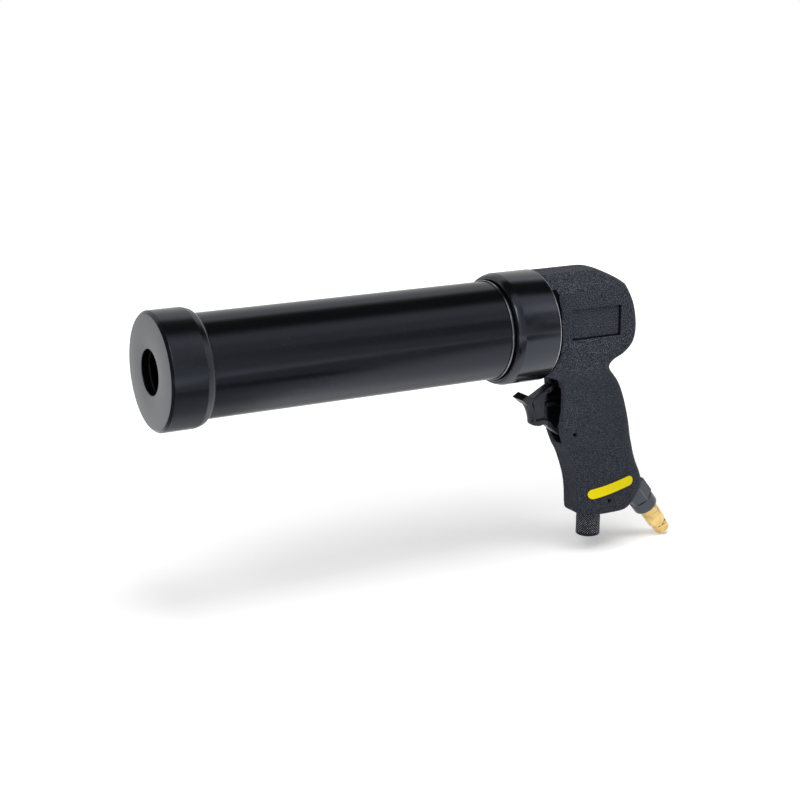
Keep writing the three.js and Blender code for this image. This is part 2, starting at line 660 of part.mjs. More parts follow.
/** The tapered rubber ring that presses on the cartridge's rear rim. */
function cartridgeSeal() {
  const rear = tubeRear + SEAT + GASKET_THICKNESS;
  const front = rear - CARTRIDGE_SEAL_LENGTH;
  const outer = tubeBoreR - CARTRIDGE_SEAL_CLEARANCE;
  const inner = outer - CARTRIDGE_SEAL_WIDTH;
  return turned([
    [inner, front + CARTRIDGE_SEAL_EDGE],
    [inner + CARTRIDGE_SEAL_EDGE, front],
    [outer - CARTRIDGE_SEAL_TAPER, front],
    [outer, rear - CARTRIDGE_SEAL_LAND],
    [outer, rear],
    [inner, rear],
  ]);
}

// ---------------------------------------------------------------- trigger

/** The trigger's side outline, with the horn, the finger curve and the strap to the pivot. */
function triggerShape() {
  const points = (pairs) => pairs.map(([x, z]) => new THREE.Vector2(x, z));
  const shape = new THREE.Shape();
  const lines = (pairs) => pairs.forEach(([x, z]) => shape.lineTo(x, z));
  shape.moveTo(...HORN_ROOT[0]);
  lines(ARM_TOP);
  shape.quadraticCurveTo(TRIGGER_REAR, ARM_INSIDE_HEIGHTS[0], TRIGGER_REAR, ARM_INSIDE_HEIGHTS[1]);
  lines(REAR_STEP);
  shape.splineThru(points(STRAP_TOP));
  lines(STRAP_UNDER.slice(0, 1));
  shape.splineThru(points(STRAP_UNDER.slice(1)));
  lines(FINGER_FOOT.slice(0, 1));
  shape.quadraticCurveTo(...FINGER_FOOT[1], ...FINGER_FOOT[2]);
  shape.quadraticCurveTo(...FINGER_FOOT[3], ...FINGER_FOOT[4]);
  shape.splineThru(points(FINGER_FACE));
  lines(HORN_TIP.slice(2));
  return shape;
}

/** The horn above the finger, which is wider than the rest of the trigger. */
function hornShape() {
  const corners = [...HORN_ROOT, ...HORN_TIP];
  return new THREE.Shape(corners.map(([x, z]) => new THREE.Vector2(x, z)));
}

/** The shallow pocket in each side of the trigger, inside its rim. */
function pocketShape() {
  const shape = new THREE.Shape(POCKET_EDGE.map(([x, z]) => new THREE.Vector2(x, z)));
  shape.quadraticCurveTo(...POCKET_FRONT[0], ...POCKET_FRONT[1]);
  return shape;
}

/** The moulded trigger, drawn about its pivot and set on it. */
function trigger() {
  const half = TRIGGER_WIDTH / 2;
  const floor = half - TRIGGER_POCKET_DEPTH;
  const centre = new THREE.Vector2();
  const beside = (from, to) => block([STRAP_ROOT[0], from, -eyeR], [eyeR, to, STRAP_ROOT[1]]);
  return solid(across(triggerShape(), -half, half))
    .add(solid(across(hornShape(), -HORN_WIDTH / 2, HORN_WIDTH / 2)))
    .subtract(solid(beside(eyeWidth / 2, half + OVERCUT)))
    .subtract(solid(beside(-half - OVERCUT, -eyeWidth / 2)))
    .add(solid(barAcross(eyeR, eyeWidth, centre)))
    .subtract(solid(across(pocketShape(), floor, half + OVERCUT)))
    .subtract(solid(across(pocketShape(), -half - OVERCUT, -floor)))
    .subtract(solid(barAcross(PIVOT_PIN_R + RUN, eyeWidth + OVERCUT, centre)))
    .translate([PIVOT.x, 0, PIVOT.y]);
}

/** A slotted spring pin across the grip. */
function rollPin(radius, halfLength, centre) {
  const inner = radius - PIN_WALL;
  const gap = PIN_SLIT / 2;
  const outerTurn = Math.asin(gap / radius);
  const innerTurn = Math.asin(gap / inner);
  const shape = new THREE.Shape();
  shape.absarc(centre.x, centre.y, radius, outerTurn, 2 * Math.PI - outerTurn, false);
  shape.absarc(centre.x, centre.y, inner, 2 * Math.PI - innerTurn, innerTurn, true);
  return across(shape, -halfLength, halfLength, SMALL_ROUND / 2);
}

/** Half the grip's width at a place on its side. */
function gripHalfWidth(centre) {
  const level = castingStations().find((station) => station.z < centre.y);
  const side = castingRing(level, 0).filter((point) => point.y < 0);
  const behind = side.findIndex((point) => point.x > centre.x);
  const [a, b] = [side[behind - 1], side[behind]];
  return -THREE.MathUtils.mapLinear(centre.x, a.x, b.x, a.y, b.y);
}

/** A spring pin through the grip, a little below its surface at both ends. */
function gripPin(radius, centre) {
  return rollPin(radius, gripHalfWidth(centre) - PIN_RECESS, centre);
}

// ---------------------------------------------------------------- valve

/** The front of the O-ring's groove in the bush. */
const bushGrooveFront = bushEnd - BUSH_SEAL_REAR_WALL - SEAL_WIRE - 2 * SEAT;

/** The bush that closes the valve's bore and guides the stem. */
function valveBush() {
  const flangeRear = slotFloor - SEAT;
  const front = flangeRear - BUSH_FLANGE_LENGTH;
  const outer = VALVE_BORE_R + BUSH_FLANGE_WALL;
  const bore = STEM_R + RUN;
  const grooveR = STEM_R + SEAL_WIRE;
  const grooveRear = bushGrooveFront + SEAL_WIRE + 2 * SEAT;
  return turned([
    [bore, front],
    [outer - BUSH_FLANGE_EDGE, front],
    [outer, front + BUSH_FLANGE_EDGE],
    [outer, flangeRear],
    [VALVE_BORE_R, flangeRear],
    [VALVE_BORE_R, bushEnd],
    [bore, bushEnd],
    [bore, grooveRear],
    [grooveR, grooveRear],
    [grooveR, bushGrooveFront],
    [bore, bushGrooveFront],
  ], SMALL_ROUND).translate(0, 0, valveZ);
}

/** The O-ring in the bush. */
function stemSeal() {
  const wire = SEAL_WIRE - 2 * SEAT - RUN;
  const middle = bushGrooveFront + SEAT + SEAL_WIRE / 2;
  return sealRing(STEM_R + RUN + wire / 2, wire, middle).translate(0, 0, valveZ);
}

/** The ring that the poppet closes against. */
function valveSeat() {
  const face = seatRear - SEAT_LIP_HEIGHT;
  return turned([
    [seatHoleR, seatFront],
    [VALVE_BORE_R, seatFront],
    [VALVE_BORE_R, face],
    [seatHoleR + 2 * SEAT_LIP, face],
    [seatHoleR + SEAT_LIP, seatRear],
    [seatHoleR, seatRear],
  ], SMALL_ROUND).translate(0, 0, valveZ);
}

/** The stem with its domed tip, its poppet and the peg inside the spring. */
function valveStem() {
  const pegR = SPRING_R - SPRING_WIRE / 2 - FIT;
  const pegEnd = poppetRear + PEG_LENGTH;
  return turned([
    ...quarterRound(STEM_R, PIVOT.x + TRIGGER_REAR + STEM_GAP, STEM_R, 4, 1),
    [STEM_R, poppetFront],
    [poppetR, poppetFront],
    [poppetR, poppetRear],
    [pegR, poppetRear],
    [pegR, pegEnd - PEG_EDGE],
    [pegR - PEG_EDGE, pegEnd],
    [0, pegEnd],
  ], SMALL_ROUND).translate(0, 0, valveZ);
}

/** The washer-shaped seal in front of the poppet. */
function poppetSeal() {
  const front = seatRear + SEAT;
  const rear = front + POPPET_SEAL;
  const inner = STEM_R + SEAT;
  return turned([[inner, front], [poppetR, front], [poppetR, rear], [inner, rear]], SMALL_ROUND)
    .translate(0, 0, valveZ);
}

/** The coil spring behind the poppet. */
function valveSpring() {
  const start = poppetRear + SEAT + SPRING_WIRE / 2;
  const end = valveBoreEnd - SEAT - SPRING_WIRE / 2;
  const points = [];
  const steps = SPRING_TURNS * SPRING_STEPS;
  for (let i = 0; i <= steps; i += 1) {
    const share = i / steps;
    const turn = share * SPRING_TURNS * 2 * Math.PI;
    points.push(new THREE.Vector3(
      start + share * (end - start),
      SPRING_R * Math.cos(turn),
      valveZ + SPRING_R * Math.sin(turn),
    ));
  }
  const section = new THREE.Shape();
  section.absarc(0, 0, SPRING_WIRE / 2, 0, 2 * Math.PI, false);
  return new THREE.ExtrudeGeometry(section, {
    steps,
    curveSegments: 3,
    extrudePath: new THREE.CatmullRomCurve3(points),
  });
}

// ---------------------------------------------------------------- regulator

/** The knob and its spindle, with O-ring grooves, a pin groove and a half-round throttle. */
function regulatorKnob() {
  const pinZ = regulatorPinCentre.y;
  const pinHalf = REGULATOR_PIN_R + RUN;
  const sealHalf = SEAL_WIRE / 2 + SEAT;
  const sealFloorR = SPINDLE_R - SEAL_WIRE;
  const profile = [
    [0, knobTop - KNOB_LENGTH],
    ...quarterRound(knobR, knobTop - KNOB_LENGTH, KNOB_EDGE, 3, 1),
    [knobR, knobTop - KNOB_TOP_EDGE],
    [knobR - KNOB_TOP_EDGE, knobTop],
    [SPINDLE_R, knobTop],
    [SPINDLE_R, pinZ - pinHalf],
    [pinGrooveR, pinZ - pinHalf],
    [pinGrooveR, pinZ + pinHalf],
    [SPINDLE_R, pinZ + pinHalf],
  ];
  for (const height of Object.values(REGULATOR_SEAL_HEIGHTS).sort((a, b) => a - b)) {
    const z = gripBottom + height;
    profile.push([SPINDLE_R, z - sealHalf], [sealFloorR, z - sealHalf]);
    profile.push([sealFloorR, z + sealHalf], [SPINDLE_R, z + sealHalf]);
  }
  profile.push([SPINDLE_R, spindleTop], [0, spindleTop]);
  const opening = block(
    [REGULATOR_X - THROTTLE_OFFSET, -SPINDLE_R - OVERCUT, spindleTop - THROTTLE_LENGTH],
    [REGULATOR_X + SPINDLE_R + OVERCUT, SPINDLE_R + OVERCUT, spindleTop + OVERCUT],
  );
  return solid(turnedUpright(profile, REGULATOR_X)).subtract(solid(opening));
}

/** An O-ring on the regulator's spindle, at a height above the grip's bottom. */
function regulatorSeal(height) {
  const wire = SEAL_WIRE - SEAT;
  const radius = SPINDLE_R - SEAL_WIRE + SEAT / 2 + wire / 2;
  const ring = sealRing(radius, wire, gripBottom + height);
  return ring.rotateY(-Math.PI / 2).translate(REGULATOR_X, 0, 0);
}

// ---------------------------------------------------------------- inlet

/** The steel bushing: a thread in the grip, a hexagon and a round nose. */
function inletBushing() {
  const rear = -BUSHING_BODY - BUSHING_THREAD;
  const socketR = AIR_BORE_R + PLUG_THREAD_WALL + SEAT;
  const socketEnd = -PLUG_THREAD - SEAT;
  const hexEnd = -BUSHING_BODY + BUSHING_HEX;
  const outside = turned([
    [AIR_BORE_R, rear],
    [BUSHING_THREAD_R - THREAD_EDGE, rear],
    [BUSHING_THREAD_R, rear + THREAD_EDGE],
    [BUSHING_THREAD_R, -BUSHING_BODY],
    [BUSHING_CORNER_R, -BUSHING_BODY],
    [BUSHING_CORNER_R, hexEnd],
    [BUSHING_R, hexEnd],
    [BUSHING_R, -BUSHING_EDGE],
    [BUSHING_R - BUSHING_EDGE * BUSHING_EDGE_SHARE, -BUSHING_EDGE * BUSHING_EDGE_SHARE],
    [BUSHING_R - BUSHING_EDGE, 0],
    [socketR, 0],
    [socketR, socketEnd],
    [AIR_BORE_R, socketEnd],
  ], SMALL_ROUND);
  const hexR = BUSHING_FLATS / Math.sqrt(3);
  const keep = solid(barAlongX(hexR, -BUSHING_BODY, hexEnd, 0, 6))
    .add(solid(barAlongX(BUSHING_R, rear - OVERCUT, -BUSHING_BODY)))
    .add(solid(barAlongX(BUSHING_R + OVERCUT, hexEnd, OVERCUT)));
  return geometryOf(solid(outside).intersect(keep));
}

/** The brass plug that the air hose's coupling snaps onto. */
function couplingPlug() {
  const threadR = AIR_BORE_R + PLUG_THREAD_WALL;
  const grooveR = PLUG_R - PLUG_NECK_DEPTH;
  const tipR = PLUG_R - PLUG_TIP_STEP;
  const neckEnd = PLUG_BODY + PLUG_NECK;
  const end = neckEnd + PLUG_TIP;
  return turned([
    [AIR_BORE_R, -PLUG_THREAD],
    [threadR, -PLUG_THREAD],
    [threadR, SEAT],
    [PLUG_R - PLUG_EDGE, SEAT],
    [PLUG_R, SEAT + PLUG_EDGE],
    [PLUG_R, PLUG_BODY],
    [grooveR, PLUG_BODY + PLUG_EDGE],
    [grooveR, neckEnd],
    [tipR, neckEnd + PLUG_EDGE],
    [tipR, end - PLUG_TIP_EDGE],
    [tipR - PLUG_TIP_EDGE, end],
    [AIR_BORE_R + PLUG_EDGE, end],
    [AIR_BORE_R, end - PLUG_EDGE],
  ], SMALL_ROUND);
}

// ---------------------------------------------------------------- the gun

const FINISH = {
  cast: { color: 0x1d1e21, roughness: 0.75, metalness: 0.1 },
  black: { color: 0x0b0b0d, roughness: 0.22, metalness: 0.3 },
  plastic: { color: 0x17181a, roughness: 0.5, metalness: 0 },
  rubber: { color: 0x101010, roughness: 0.85, metalness: 0 },
  steel: { color: 0x9a9ca0, roughness: 0.35, metalness: 1 },
  blued: { color: 0x23282e, roughness: 0.35, metalness: 0.9 },
  brass: { color: 0xc8a24a, roughness: 0.28, metalness: 1 },
  yellow: { color: 0xf2de12, roughness: 0.45, metalness: 0 },
};

const barrelSide = new THREE.Group();
const headSide = new THREE.Group();
headSide.position.x = headFace;

/** Adds one named piece in one finish to a group. */
function place(group, name, shape, finish) {
  const geometry = shape.isBufferGeometry ? shape : geometryOf(shape);
  const mesh = new THREE.Mesh(geometry, new THREE.MeshStandardMaterial(FINISH[finish]));
  mesh.name = name;
  group.add(mesh);
}

place(barrelSide, 'barrel_tube', barrelTube(), 'black');
place(barrelSide, 'front_cap', frontCap(), 'black');
place(barrelSide, 'cap_cushion', capCushion(), 'rubber');
place(barrelSide, 'union_collar', unionCollar(), 'black');
place(barrelSide, 'slip_ring', slipRing(), 'plastic');
place(barrelSide, 'snap_ring', snapRing(), 'steel');
place(barrelSide, 'barrel_gasket', barrelGasket(), 'rubber');
place(barrelSide, 'cartridge_seal', cartridgeSeal(), 'rubber');

place(headSide, 'handle_casting', handleCasting(), 'cast');
place(headSide, 'grip_label', gripLabel(), 'yellow');
place(headSide, 'trigger', trigger(), 'plastic');
place(headSide, 'trigger_pin', gripPin(PIVOT_PIN_R, PIVOT), 'steel');
place(headSide, 'regulator_pin', gripPin(REGULATOR_PIN_R, regulatorPinCentre), 'steel');
place(headSide, 'valve_bush', valveBush(), 'brass');
place(headSide, 'stem_seal', stemSeal(), 'rubber');
place(headSide, 'valve_seat', valveSeat(), 'plastic');
place(headSide, 'valve_stem', valveStem(), 'steel');
place(headSide, 'poppet_seal', poppetSeal(), 'rubber');
place(headSide, 'valve_spring', valveSpring(), 'steel');
place(headSide, 'regulator_knob', regulatorKnob(), 'blued');
for (const [name, height] of Object.entries(REGULATOR_SEAL_HEIGHTS)) {
  place(headSide, name, regulatorSeal(height), 'rubber');
}
place(headSide, 'inlet_bushing', onInletAxis(inletBushing()), 'blued');
place(headSide, 'coupling_plug', onInletAxis(couplingPlug()), 'brass');

const gun = new THREE.Group().add(barrelSide, headSide);
const box = new THREE.Box3().setFromObject(gun);
gun.position.set(-(box.min.x + box.max.x) / 2, -(box.min.y + box.max.y) / 2, -box.min.z);

export default gun;
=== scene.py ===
"""Cartridge gun for compressed air: the looks of its pieces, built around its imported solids.

Every length in a class below is in millimetres, and the meshes are in metres. X runs back along
the barrel, Y across and Z up. The barrel's pieces are measured from the front cap's face and the
pieces in the head and the grip from the head's front face, both on the barrel's axis.
"""

from __future__ import annotations

import logging
import math
from dataclasses import dataclass
from enum import Enum
from typing import Callable, Iterable, Sequence

import bmesh
import bpy
from bmesh.types import BMesh, BMVert
from bpy.types import Material, Node, NodeOutputs, NodeSocket, NodeTree, Object
from mathutils import Matrix, Vector
from mathutils.bvhtree import BVHTree


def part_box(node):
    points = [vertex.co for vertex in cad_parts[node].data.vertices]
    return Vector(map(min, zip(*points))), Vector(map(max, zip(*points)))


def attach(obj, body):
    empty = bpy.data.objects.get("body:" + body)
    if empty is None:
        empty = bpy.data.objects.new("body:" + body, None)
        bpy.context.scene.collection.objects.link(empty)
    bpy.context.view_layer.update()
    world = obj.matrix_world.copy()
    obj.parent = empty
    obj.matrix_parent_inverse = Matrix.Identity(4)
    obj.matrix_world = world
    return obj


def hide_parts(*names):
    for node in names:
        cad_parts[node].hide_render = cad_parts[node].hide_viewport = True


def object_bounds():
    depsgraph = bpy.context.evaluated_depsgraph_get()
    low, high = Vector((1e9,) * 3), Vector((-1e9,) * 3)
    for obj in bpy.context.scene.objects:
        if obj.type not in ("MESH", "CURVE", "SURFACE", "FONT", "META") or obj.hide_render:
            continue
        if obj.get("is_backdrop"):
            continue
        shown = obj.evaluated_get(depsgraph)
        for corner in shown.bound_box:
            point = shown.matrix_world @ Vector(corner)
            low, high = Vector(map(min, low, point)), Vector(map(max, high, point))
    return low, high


LOG = logging.getLogger("cartridge_gun")
MM = 0.001

Point = tuple[float, float]
Corner = tuple[float, float, float]
Profile = list[Point | Corner]
Colour = tuple[float, float, float]
Place = tuple[float, float, float]

COOL = (0.72, 0.79, 1.0, 1.0)
WHITE = (1.0, 1.0, 1.0, 1.0)


# ------------------------------------------------------------------ node trees


class Wiring:
    """Adds nodes to a node tree and links them, left to right."""

    def __init__(self, tree: NodeTree) -> None:
        """Starts on a tree.

        Args:
            tree: The tree that the nodes go into.
        """
        self.tree = tree
        self.column = 0

    def feed(self, node: Node, inputs: dict) -> None:
        """Links sockets to a node's inputs, or writes values into them.

        Args:
            node: The node.
            inputs: Values or sockets, by the input's name or index.
        """
        for key, value in inputs.items():
            if isinstance(value, NodeSocket):
                self.tree.links.new(value, node.inputs[key])
            else:
                node.inputs[key].default_value = value

    def add(self, kind: str, inputs: dict | None = None, **settings) -> Node:
        """Adds one node.

        Args:
            kind: The node's type name, without its ShaderNode prefix.
            inputs: Values or sockets for the node's inputs, by name or by index.
            **settings: Properties to set on the node.

        Returns:
            The new node.
        """
        name = kind if kind.startswith("Node") else f"ShaderNode{kind}"
        node = self.tree.nodes.new(name)
        node.location = (self.column, 0)
        self.column += 180
        for key, value in settings.items():
            setattr(node, key, value)
        self.feed(node, inputs or {})
        return node

    def maths(self, operation: str, a: object, b: object = 0.0) -> NodeSocket:
        """Adds a Math node and returns its value."""
        return self.add("Math", {0: a, 1: b}, operation=operation).outputs[0]

    def remap(
        self, value: object, low: float, high: float, start: float, end: float, kind: str = "LINEAR"
    ) -> NodeSocket:
        """Adds a clamped Map Range node from low..high to start..end and returns its value."""
        inputs = {"Value": value, "From Min": low, "From Max": high, "To Min": start, "To Max": end}
        return self.add("MapRange", inputs, interpolation_type=kind).outputs["Result"]

    def mix(self, share: object, a: object, b: object) -> NodeSocket:
        """Adds a colour mix from a to b and returns its colour."""
        return self.add("Mix", {0: share, 6: a, 7: b}, data_type="RGBA").outputs[2]

    def noise(self, place: object, scale: object, detail: float = 2.0, roughness: float = 0.5) -> NodeSocket:
        """Adds a noise texture and returns its value."""
        inputs = {"Vector": place, "Scale": scale, "Detail": detail, "Roughness": roughness}
        return self.add("TexNoise", inputs).outputs["Fac"]

    def scaled(self, colour: object, share: object) -> NodeSocket:
        """Adds a Vector Math node that scales a colour and returns the result."""
        return self.add("VectorMath", {0: colour, "Scale": share}, operation="SCALE").outputs[0]


def rgba(colour: Colour) -> tuple[float, float, float, float]:
    """Adds an alpha of 1 to a linear colour."""
    return (*colour, 1.0)


@dataclass(frozen=True)
class Socket:
    """One named socket of an effect's node group."""

    name: str
    kind: str = "NodeSocketFloat"
    value: float | tuple = 0.0


VECTOR = Socket("Vector", "NodeSocketVector")


class Effect:
    """A shader node group that several materials share. It is built once."""

    name: str = ""
    takes: tuple[Socket, ...] = ()
    gives: tuple[Socket, ...] = ()

    @classmethod
    def group(cls) -> NodeTree:
        """Returns the group, building it on the first call."""
        tree = bpy.data.node_groups.get(cls.name)
        if tree is None:
            tree = bpy.data.node_groups.new(cls.name, "ShaderNodeTree")
            for direction, sockets in (("INPUT", cls.takes), ("OUTPUT", cls.gives)):
                for socket in sockets:
                    made = tree.interface.new_socket(
                        socket.name, in_out=direction, socket_type=socket.kind
                    )
                    if direction == "INPUT" and socket.kind != "NodeSocketVector":
                        made.default_value = socket.value
            wiring = Wiring(tree)
            source = wiring.add("NodeGroupInput")
            results = cls.wire(wiring, source.outputs)
            wiring.add("NodeGroupOutput", results)
        return tree

    @classmethod
    def wire(cls, wiring: Wiring, takes: NodeOutputs) -> dict[str, NodeSocket]:
        """Wires the group between its inputs and its outputs."""
        raise NotImplementedError

    @classmethod
    def place(cls, wiring: Wiring, **inputs) -> NodeOutputs:
        """Places the group in a material with its own values.

        Args:
            wiring: The material's wiring.
            **inputs: Values or sockets, by the input's name.

        Returns:
            The group node's outputs.
        """
        return wiring.add("Group", inputs, node_tree=cls.group()).outputs


class Grit(Effect):
    """Coarse grains, as in a powder coat: lumps with a few bright specks on their tops, partly the coat's
    flecks and partly painted highlight, and painted shade in the low places between them.
    """

    name = "Grit"
    takes = (
        VECTOR,
        Socket("Grain", value=900.0),
        Socket("Specks", value=0.5),
        Socket("Pit", value=0.2),
        Socket("Base", "NodeSocketColor", (0.03, 0.03, 0.03, 1.0)),
        Socket("Speck", "NodeSocketColor", (0.1, 0.1, 0.1, 1.0)),
    )
    gives = (Socket("Colour", "NodeSocketColor"), Socket("Height"))

    @classmethod
    def wire(cls, wiring: Wiring, takes: NodeOutputs) -> dict[str, NodeSocket]:
        """Wires lumps of noise, a finer noise on them, specks at their tops and painted shade that darkens
        the low places.
        """
        lumps = wiring.noise(takes["Vector"], takes["Grain"], 3.0, 0.6)
        fine = wiring.noise(takes["Vector"], wiring.maths("MULTIPLY", takes["Grain"], 2.7))
        height = wiring.maths("ADD", lumps, wiring.maths("MULTIPLY", fine, 0.45))
        tops = wiring.remap(height, 0.74, 0.9, 0.0, 1.0)
        share = wiring.maths("MULTIPLY", tops, takes["Specks"])
        # Painted shade: the colour darkens where the grains lie low.
        pit_shade = wiring.remap(height, 0.58, 0.74, takes["Pit"], 1.0)
        dark = wiring.scaled(takes["Base"], pit_shade)
        return {"Colour": wiring.mix(share, dark, takes["Speck"]), "Height": height}


class Smudge(Effect):
    """Handling marks: a wide, soft change of gloss with a few thin streaks and grains of dust."""

    name = "Smudge"
    takes = (
        VECTOR,
        Socket("Size", value=18.0),
        Socket("Gloss", value=0.25),
        Socket("Spread", value=0.08),
        Socket("Dust", value=0.1),
    )
    gives = (Socket("Roughness"), Socket("Dust"))

    @classmethod
    def wire(cls, wiring: Wiring, takes: NodeOutputs) -> dict[str, NodeSocket]:
        """Wires wide noise to the roughness and scattered small grains to the dust."""
        wide = wiring.noise(takes["Vector"], takes["Size"], 4.0, 0.55)
        swing = wiring.maths("MULTIPLY", wiring.maths("SUBTRACT", wide, 0.5), 2.0)
        rough = wiring.maths("ADD", takes["Gloss"], wiring.maths("MULTIPLY", swing, takes["Spread"]))
        cells = wiring.add("TexVoronoi", {"Vector": takes["Vector"], "Scale": 420.0}).outputs["Distance"]
        grains = wiring.remap(cells, 0.03, 0.1, 1.0, 0.0)
        patches = wiring.remap(wide, 0.5, 0.7, 0.0, 1.0)
        dust = wiring.maths("MULTIPLY", wiring.maths("MULTIPLY", grains, patches), takes["Dust"])
        return {"Roughness": rough, "Dust": dust}


class TurnedLines(Effect):
    """The fine rings that a lathe leaves round an axis along X."""

    name = "TurnedLines"
    takes = (VECTOR, Socket("Lines", value=2600.0), Socket("Drag", value=0.02))
    gives = (Socket("Height"),)

    @classmethod
    def wire(cls, wiring: Wiring, takes: NodeOutputs) -> dict[str, NodeSocket]:
        """Wires noise that is long round the axis and short along it."""
        parts = wiring.add("SeparateXYZ", {0: takes["Vector"]}).outputs
        squares = [wiring.maths("MULTIPLY", part, part) for part in (parts[1], parts[2])]
        radius = wiring.maths("SQRT", wiring.maths("ADD", *squares))
        turn = wiring.maths("ARCTAN2", parts[1], parts[2])
        along = wiring.maths("MULTIPLY", wiring.maths("ADD", parts[0], radius), takes["Lines"])
        drawn = wiring.maths("MULTIPLY", turn, takes["Drag"])
        place = wiring.add("CombineXYZ", {0: along, 1: drawn}).outputs[0]
        return {"Height": wiring.noise(place, 1.0)}


class DrawnStreaks(Effect):
    """The long faint streaks that drawing and wiping leave along the X axis."""

    name = "DrawnStreaks"
    takes = (VECTOR, Socket("Length", value=9.0), Socket("Fineness", value=26.0))
    gives = (Socket("Streak"),)

    @classmethod
    def wire(cls, wiring: Wiring, takes: NodeOutputs) -> dict[str, NodeSocket]:
        """Wires noise that is long along the axis and short round it, from -1 to 1."""
        parts = wiring.add("SeparateXYZ", {0: takes["Vector"]}).outputs
        turn = wiring.maths("ARCTAN2", parts[1], parts[2])
        along = wiring.maths("MULTIPLY", parts[0], takes["Length"])
        round_it = wiring.maths("MULTIPLY", turn, takes["Fineness"])
        place = wiring.add("CombineXYZ", {0: along, 1: round_it}).outputs[0]
        noise = wiring.noise(place, 1.0, 4.0, 0.65)
        return {"Streak": wiring.remap(noise, 0.3, 0.7, -1.0, 1.0)}


# ------------------------------------------------------------------ finishes


def blank_material(title: str) -> tuple[Material, Wiring]:
    """Returns a new material without nodes, and the wiring on its tree."""
    material = bpy.data.materials.new(title)
    material.use_nodes = True
    material.node_tree.nodes.clear()
    return material, Wiring(material.node_tree)


@dataclass(frozen=True)
class Finish:
    """One finish of the gun, as a material."""

    title: str
    slot: str

    def material(self) -> Material:
        """Returns the finish's material, building it on the first call."""
        made = bpy.data.materials.get(self.title)
        if made is None:
            made, wiring = blank_material(self.title)
            shader = wiring.add("BsdfPrincipled")
            place = wiring.add("TexCoord").outputs["Object"]
            self.wire(wiring, shader, place)
            wiring.add("OutputMaterial", {"Surface": shader.outputs[0]})
        return made

    def wire(self, wiring: Wiring, shader: Node, place: NodeSocket) -> None:
        """Wires the finish into its shader.

        Args:
            wiring: The material's wiring.
            shader: The material's Principled BSDF.
            place: The object's own coordinates, in metres.
        """
        raise NotImplementedError

    @staticmethod
    def bump(wiring: Wiring, height: NodeSocket, depth: float) -> NodeSocket:
        """Returns the normal of a surface raised by a height times a depth in metres."""
        return wiring.add("Bump", {"Height": height, "Distance": depth, "Strength": 1.0}).outputs[0]


@dataclass(frozen=True)
class PowderCoat(Finish):
    """The casting's dark powder coat, coarse on the head and finer down the grip."""

    title: str = "powder_coat"
    slot: str = "cast"
    base: Colour = (0.024, 0.026, 0.034)
    speck: Colour = (0.19, 0.205, 0.25)
    head_grain: float = 1900.0
    grip_grain: float = 2300.0
    head_height: float = 0.118
    grip_height: float = 0.108
    specular: float = 0.12
    depth: float = 0.00022

    def wire(self, wiring: Wiring, shader: Node, place: NodeSocket) -> None:
        """Wires two grits that meet where the head turns into the grip."""
        height = wiring.add("SeparateXYZ", {0: place}).outputs[2]
        share = wiring.remap(height, self.grip_height, self.head_height, 0.0, 1.0)
        colours = {"Base": rgba(self.base), "Speck": rgba(self.speck)}
        head = Grit.place(wiring, Vector=place, Grain=self.head_grain, Specks=0.8, Pit=0.15, **colours)
        grip = Grit.place(wiring, Vector=place, Grain=self.grip_grain, Specks=0.45, Pit=0.5, **colours)
        smudge = Smudge.place(wiring, Vector=place, Size=30.0, Gloss=0.68, Spread=0.05, Dust=0.05)
        coarse = wiring.maths("MULTIPLY", head["Height"], share)
        fine = wiring.maths("MULTIPLY", grip["Height"], wiring.remap(share, 0.0, 1.0, 0.6, 0.0))
        wiring.feed(shader, {
            "Base Color": wiring.mix(share, grip["Colour"], head["Colour"]),
            "Roughness": smudge["Roughness"],
            "Specular IOR Level": self.specular,
            "Specular Tint": COOL,
            "Normal": self.bump(wiring, wiring.maths("ADD", coarse, fine), self.depth),
        })


@dataclass(frozen=True)
class BlackAnodised(Finish):
    """Turned and polished black aluminium."""

    title: str = "black_anodised"
    slot: str = "black_aluminium"
    base: Colour = (0.0028, 0.0029, 0.0036)
    dust: Colour = (0.14, 0.14, 0.15)
    gloss: float = 0.2
    specular: float = 0.35
    streaks: float = 0.03
    lines: float = 0.0000006
    centre: Place = (0.0, 0.0, 0.0)

    def wire(self, wiring: Wiring, shader: Node, place: NodeSocket) -> None:
        """Wires turned lines, handling marks and a little dust."""
        centred = wiring.add("VectorMath", {0: place, 1: self.centre}, operation="SUBTRACT").outputs[0]
        smudge = Smudge.place(wiring, Vector=centred, Size=22.0, Gloss=self.gloss, Spread=0.08, Dust=0.45)
        streak = DrawnStreaks.place(wiring, Vector=centred)["Streak"]
        rough = wiring.maths("ADD", smudge["Roughness"], wiring.maths("MULTIPLY", streak, self.streaks))
        turned = TurnedLines.place(wiring, Vector=centred)
        wiring.feed(shader, {
            "Base Color": wiring.mix(smudge["Dust"], rgba(self.base), rgba(self.dust)),
            "Roughness": rough,
            "Specular IOR Level": self.specular,
            "Specular Tint": COOL,
            "Normal": self.bump(wiring, turned["Height"], self.lines),
        })


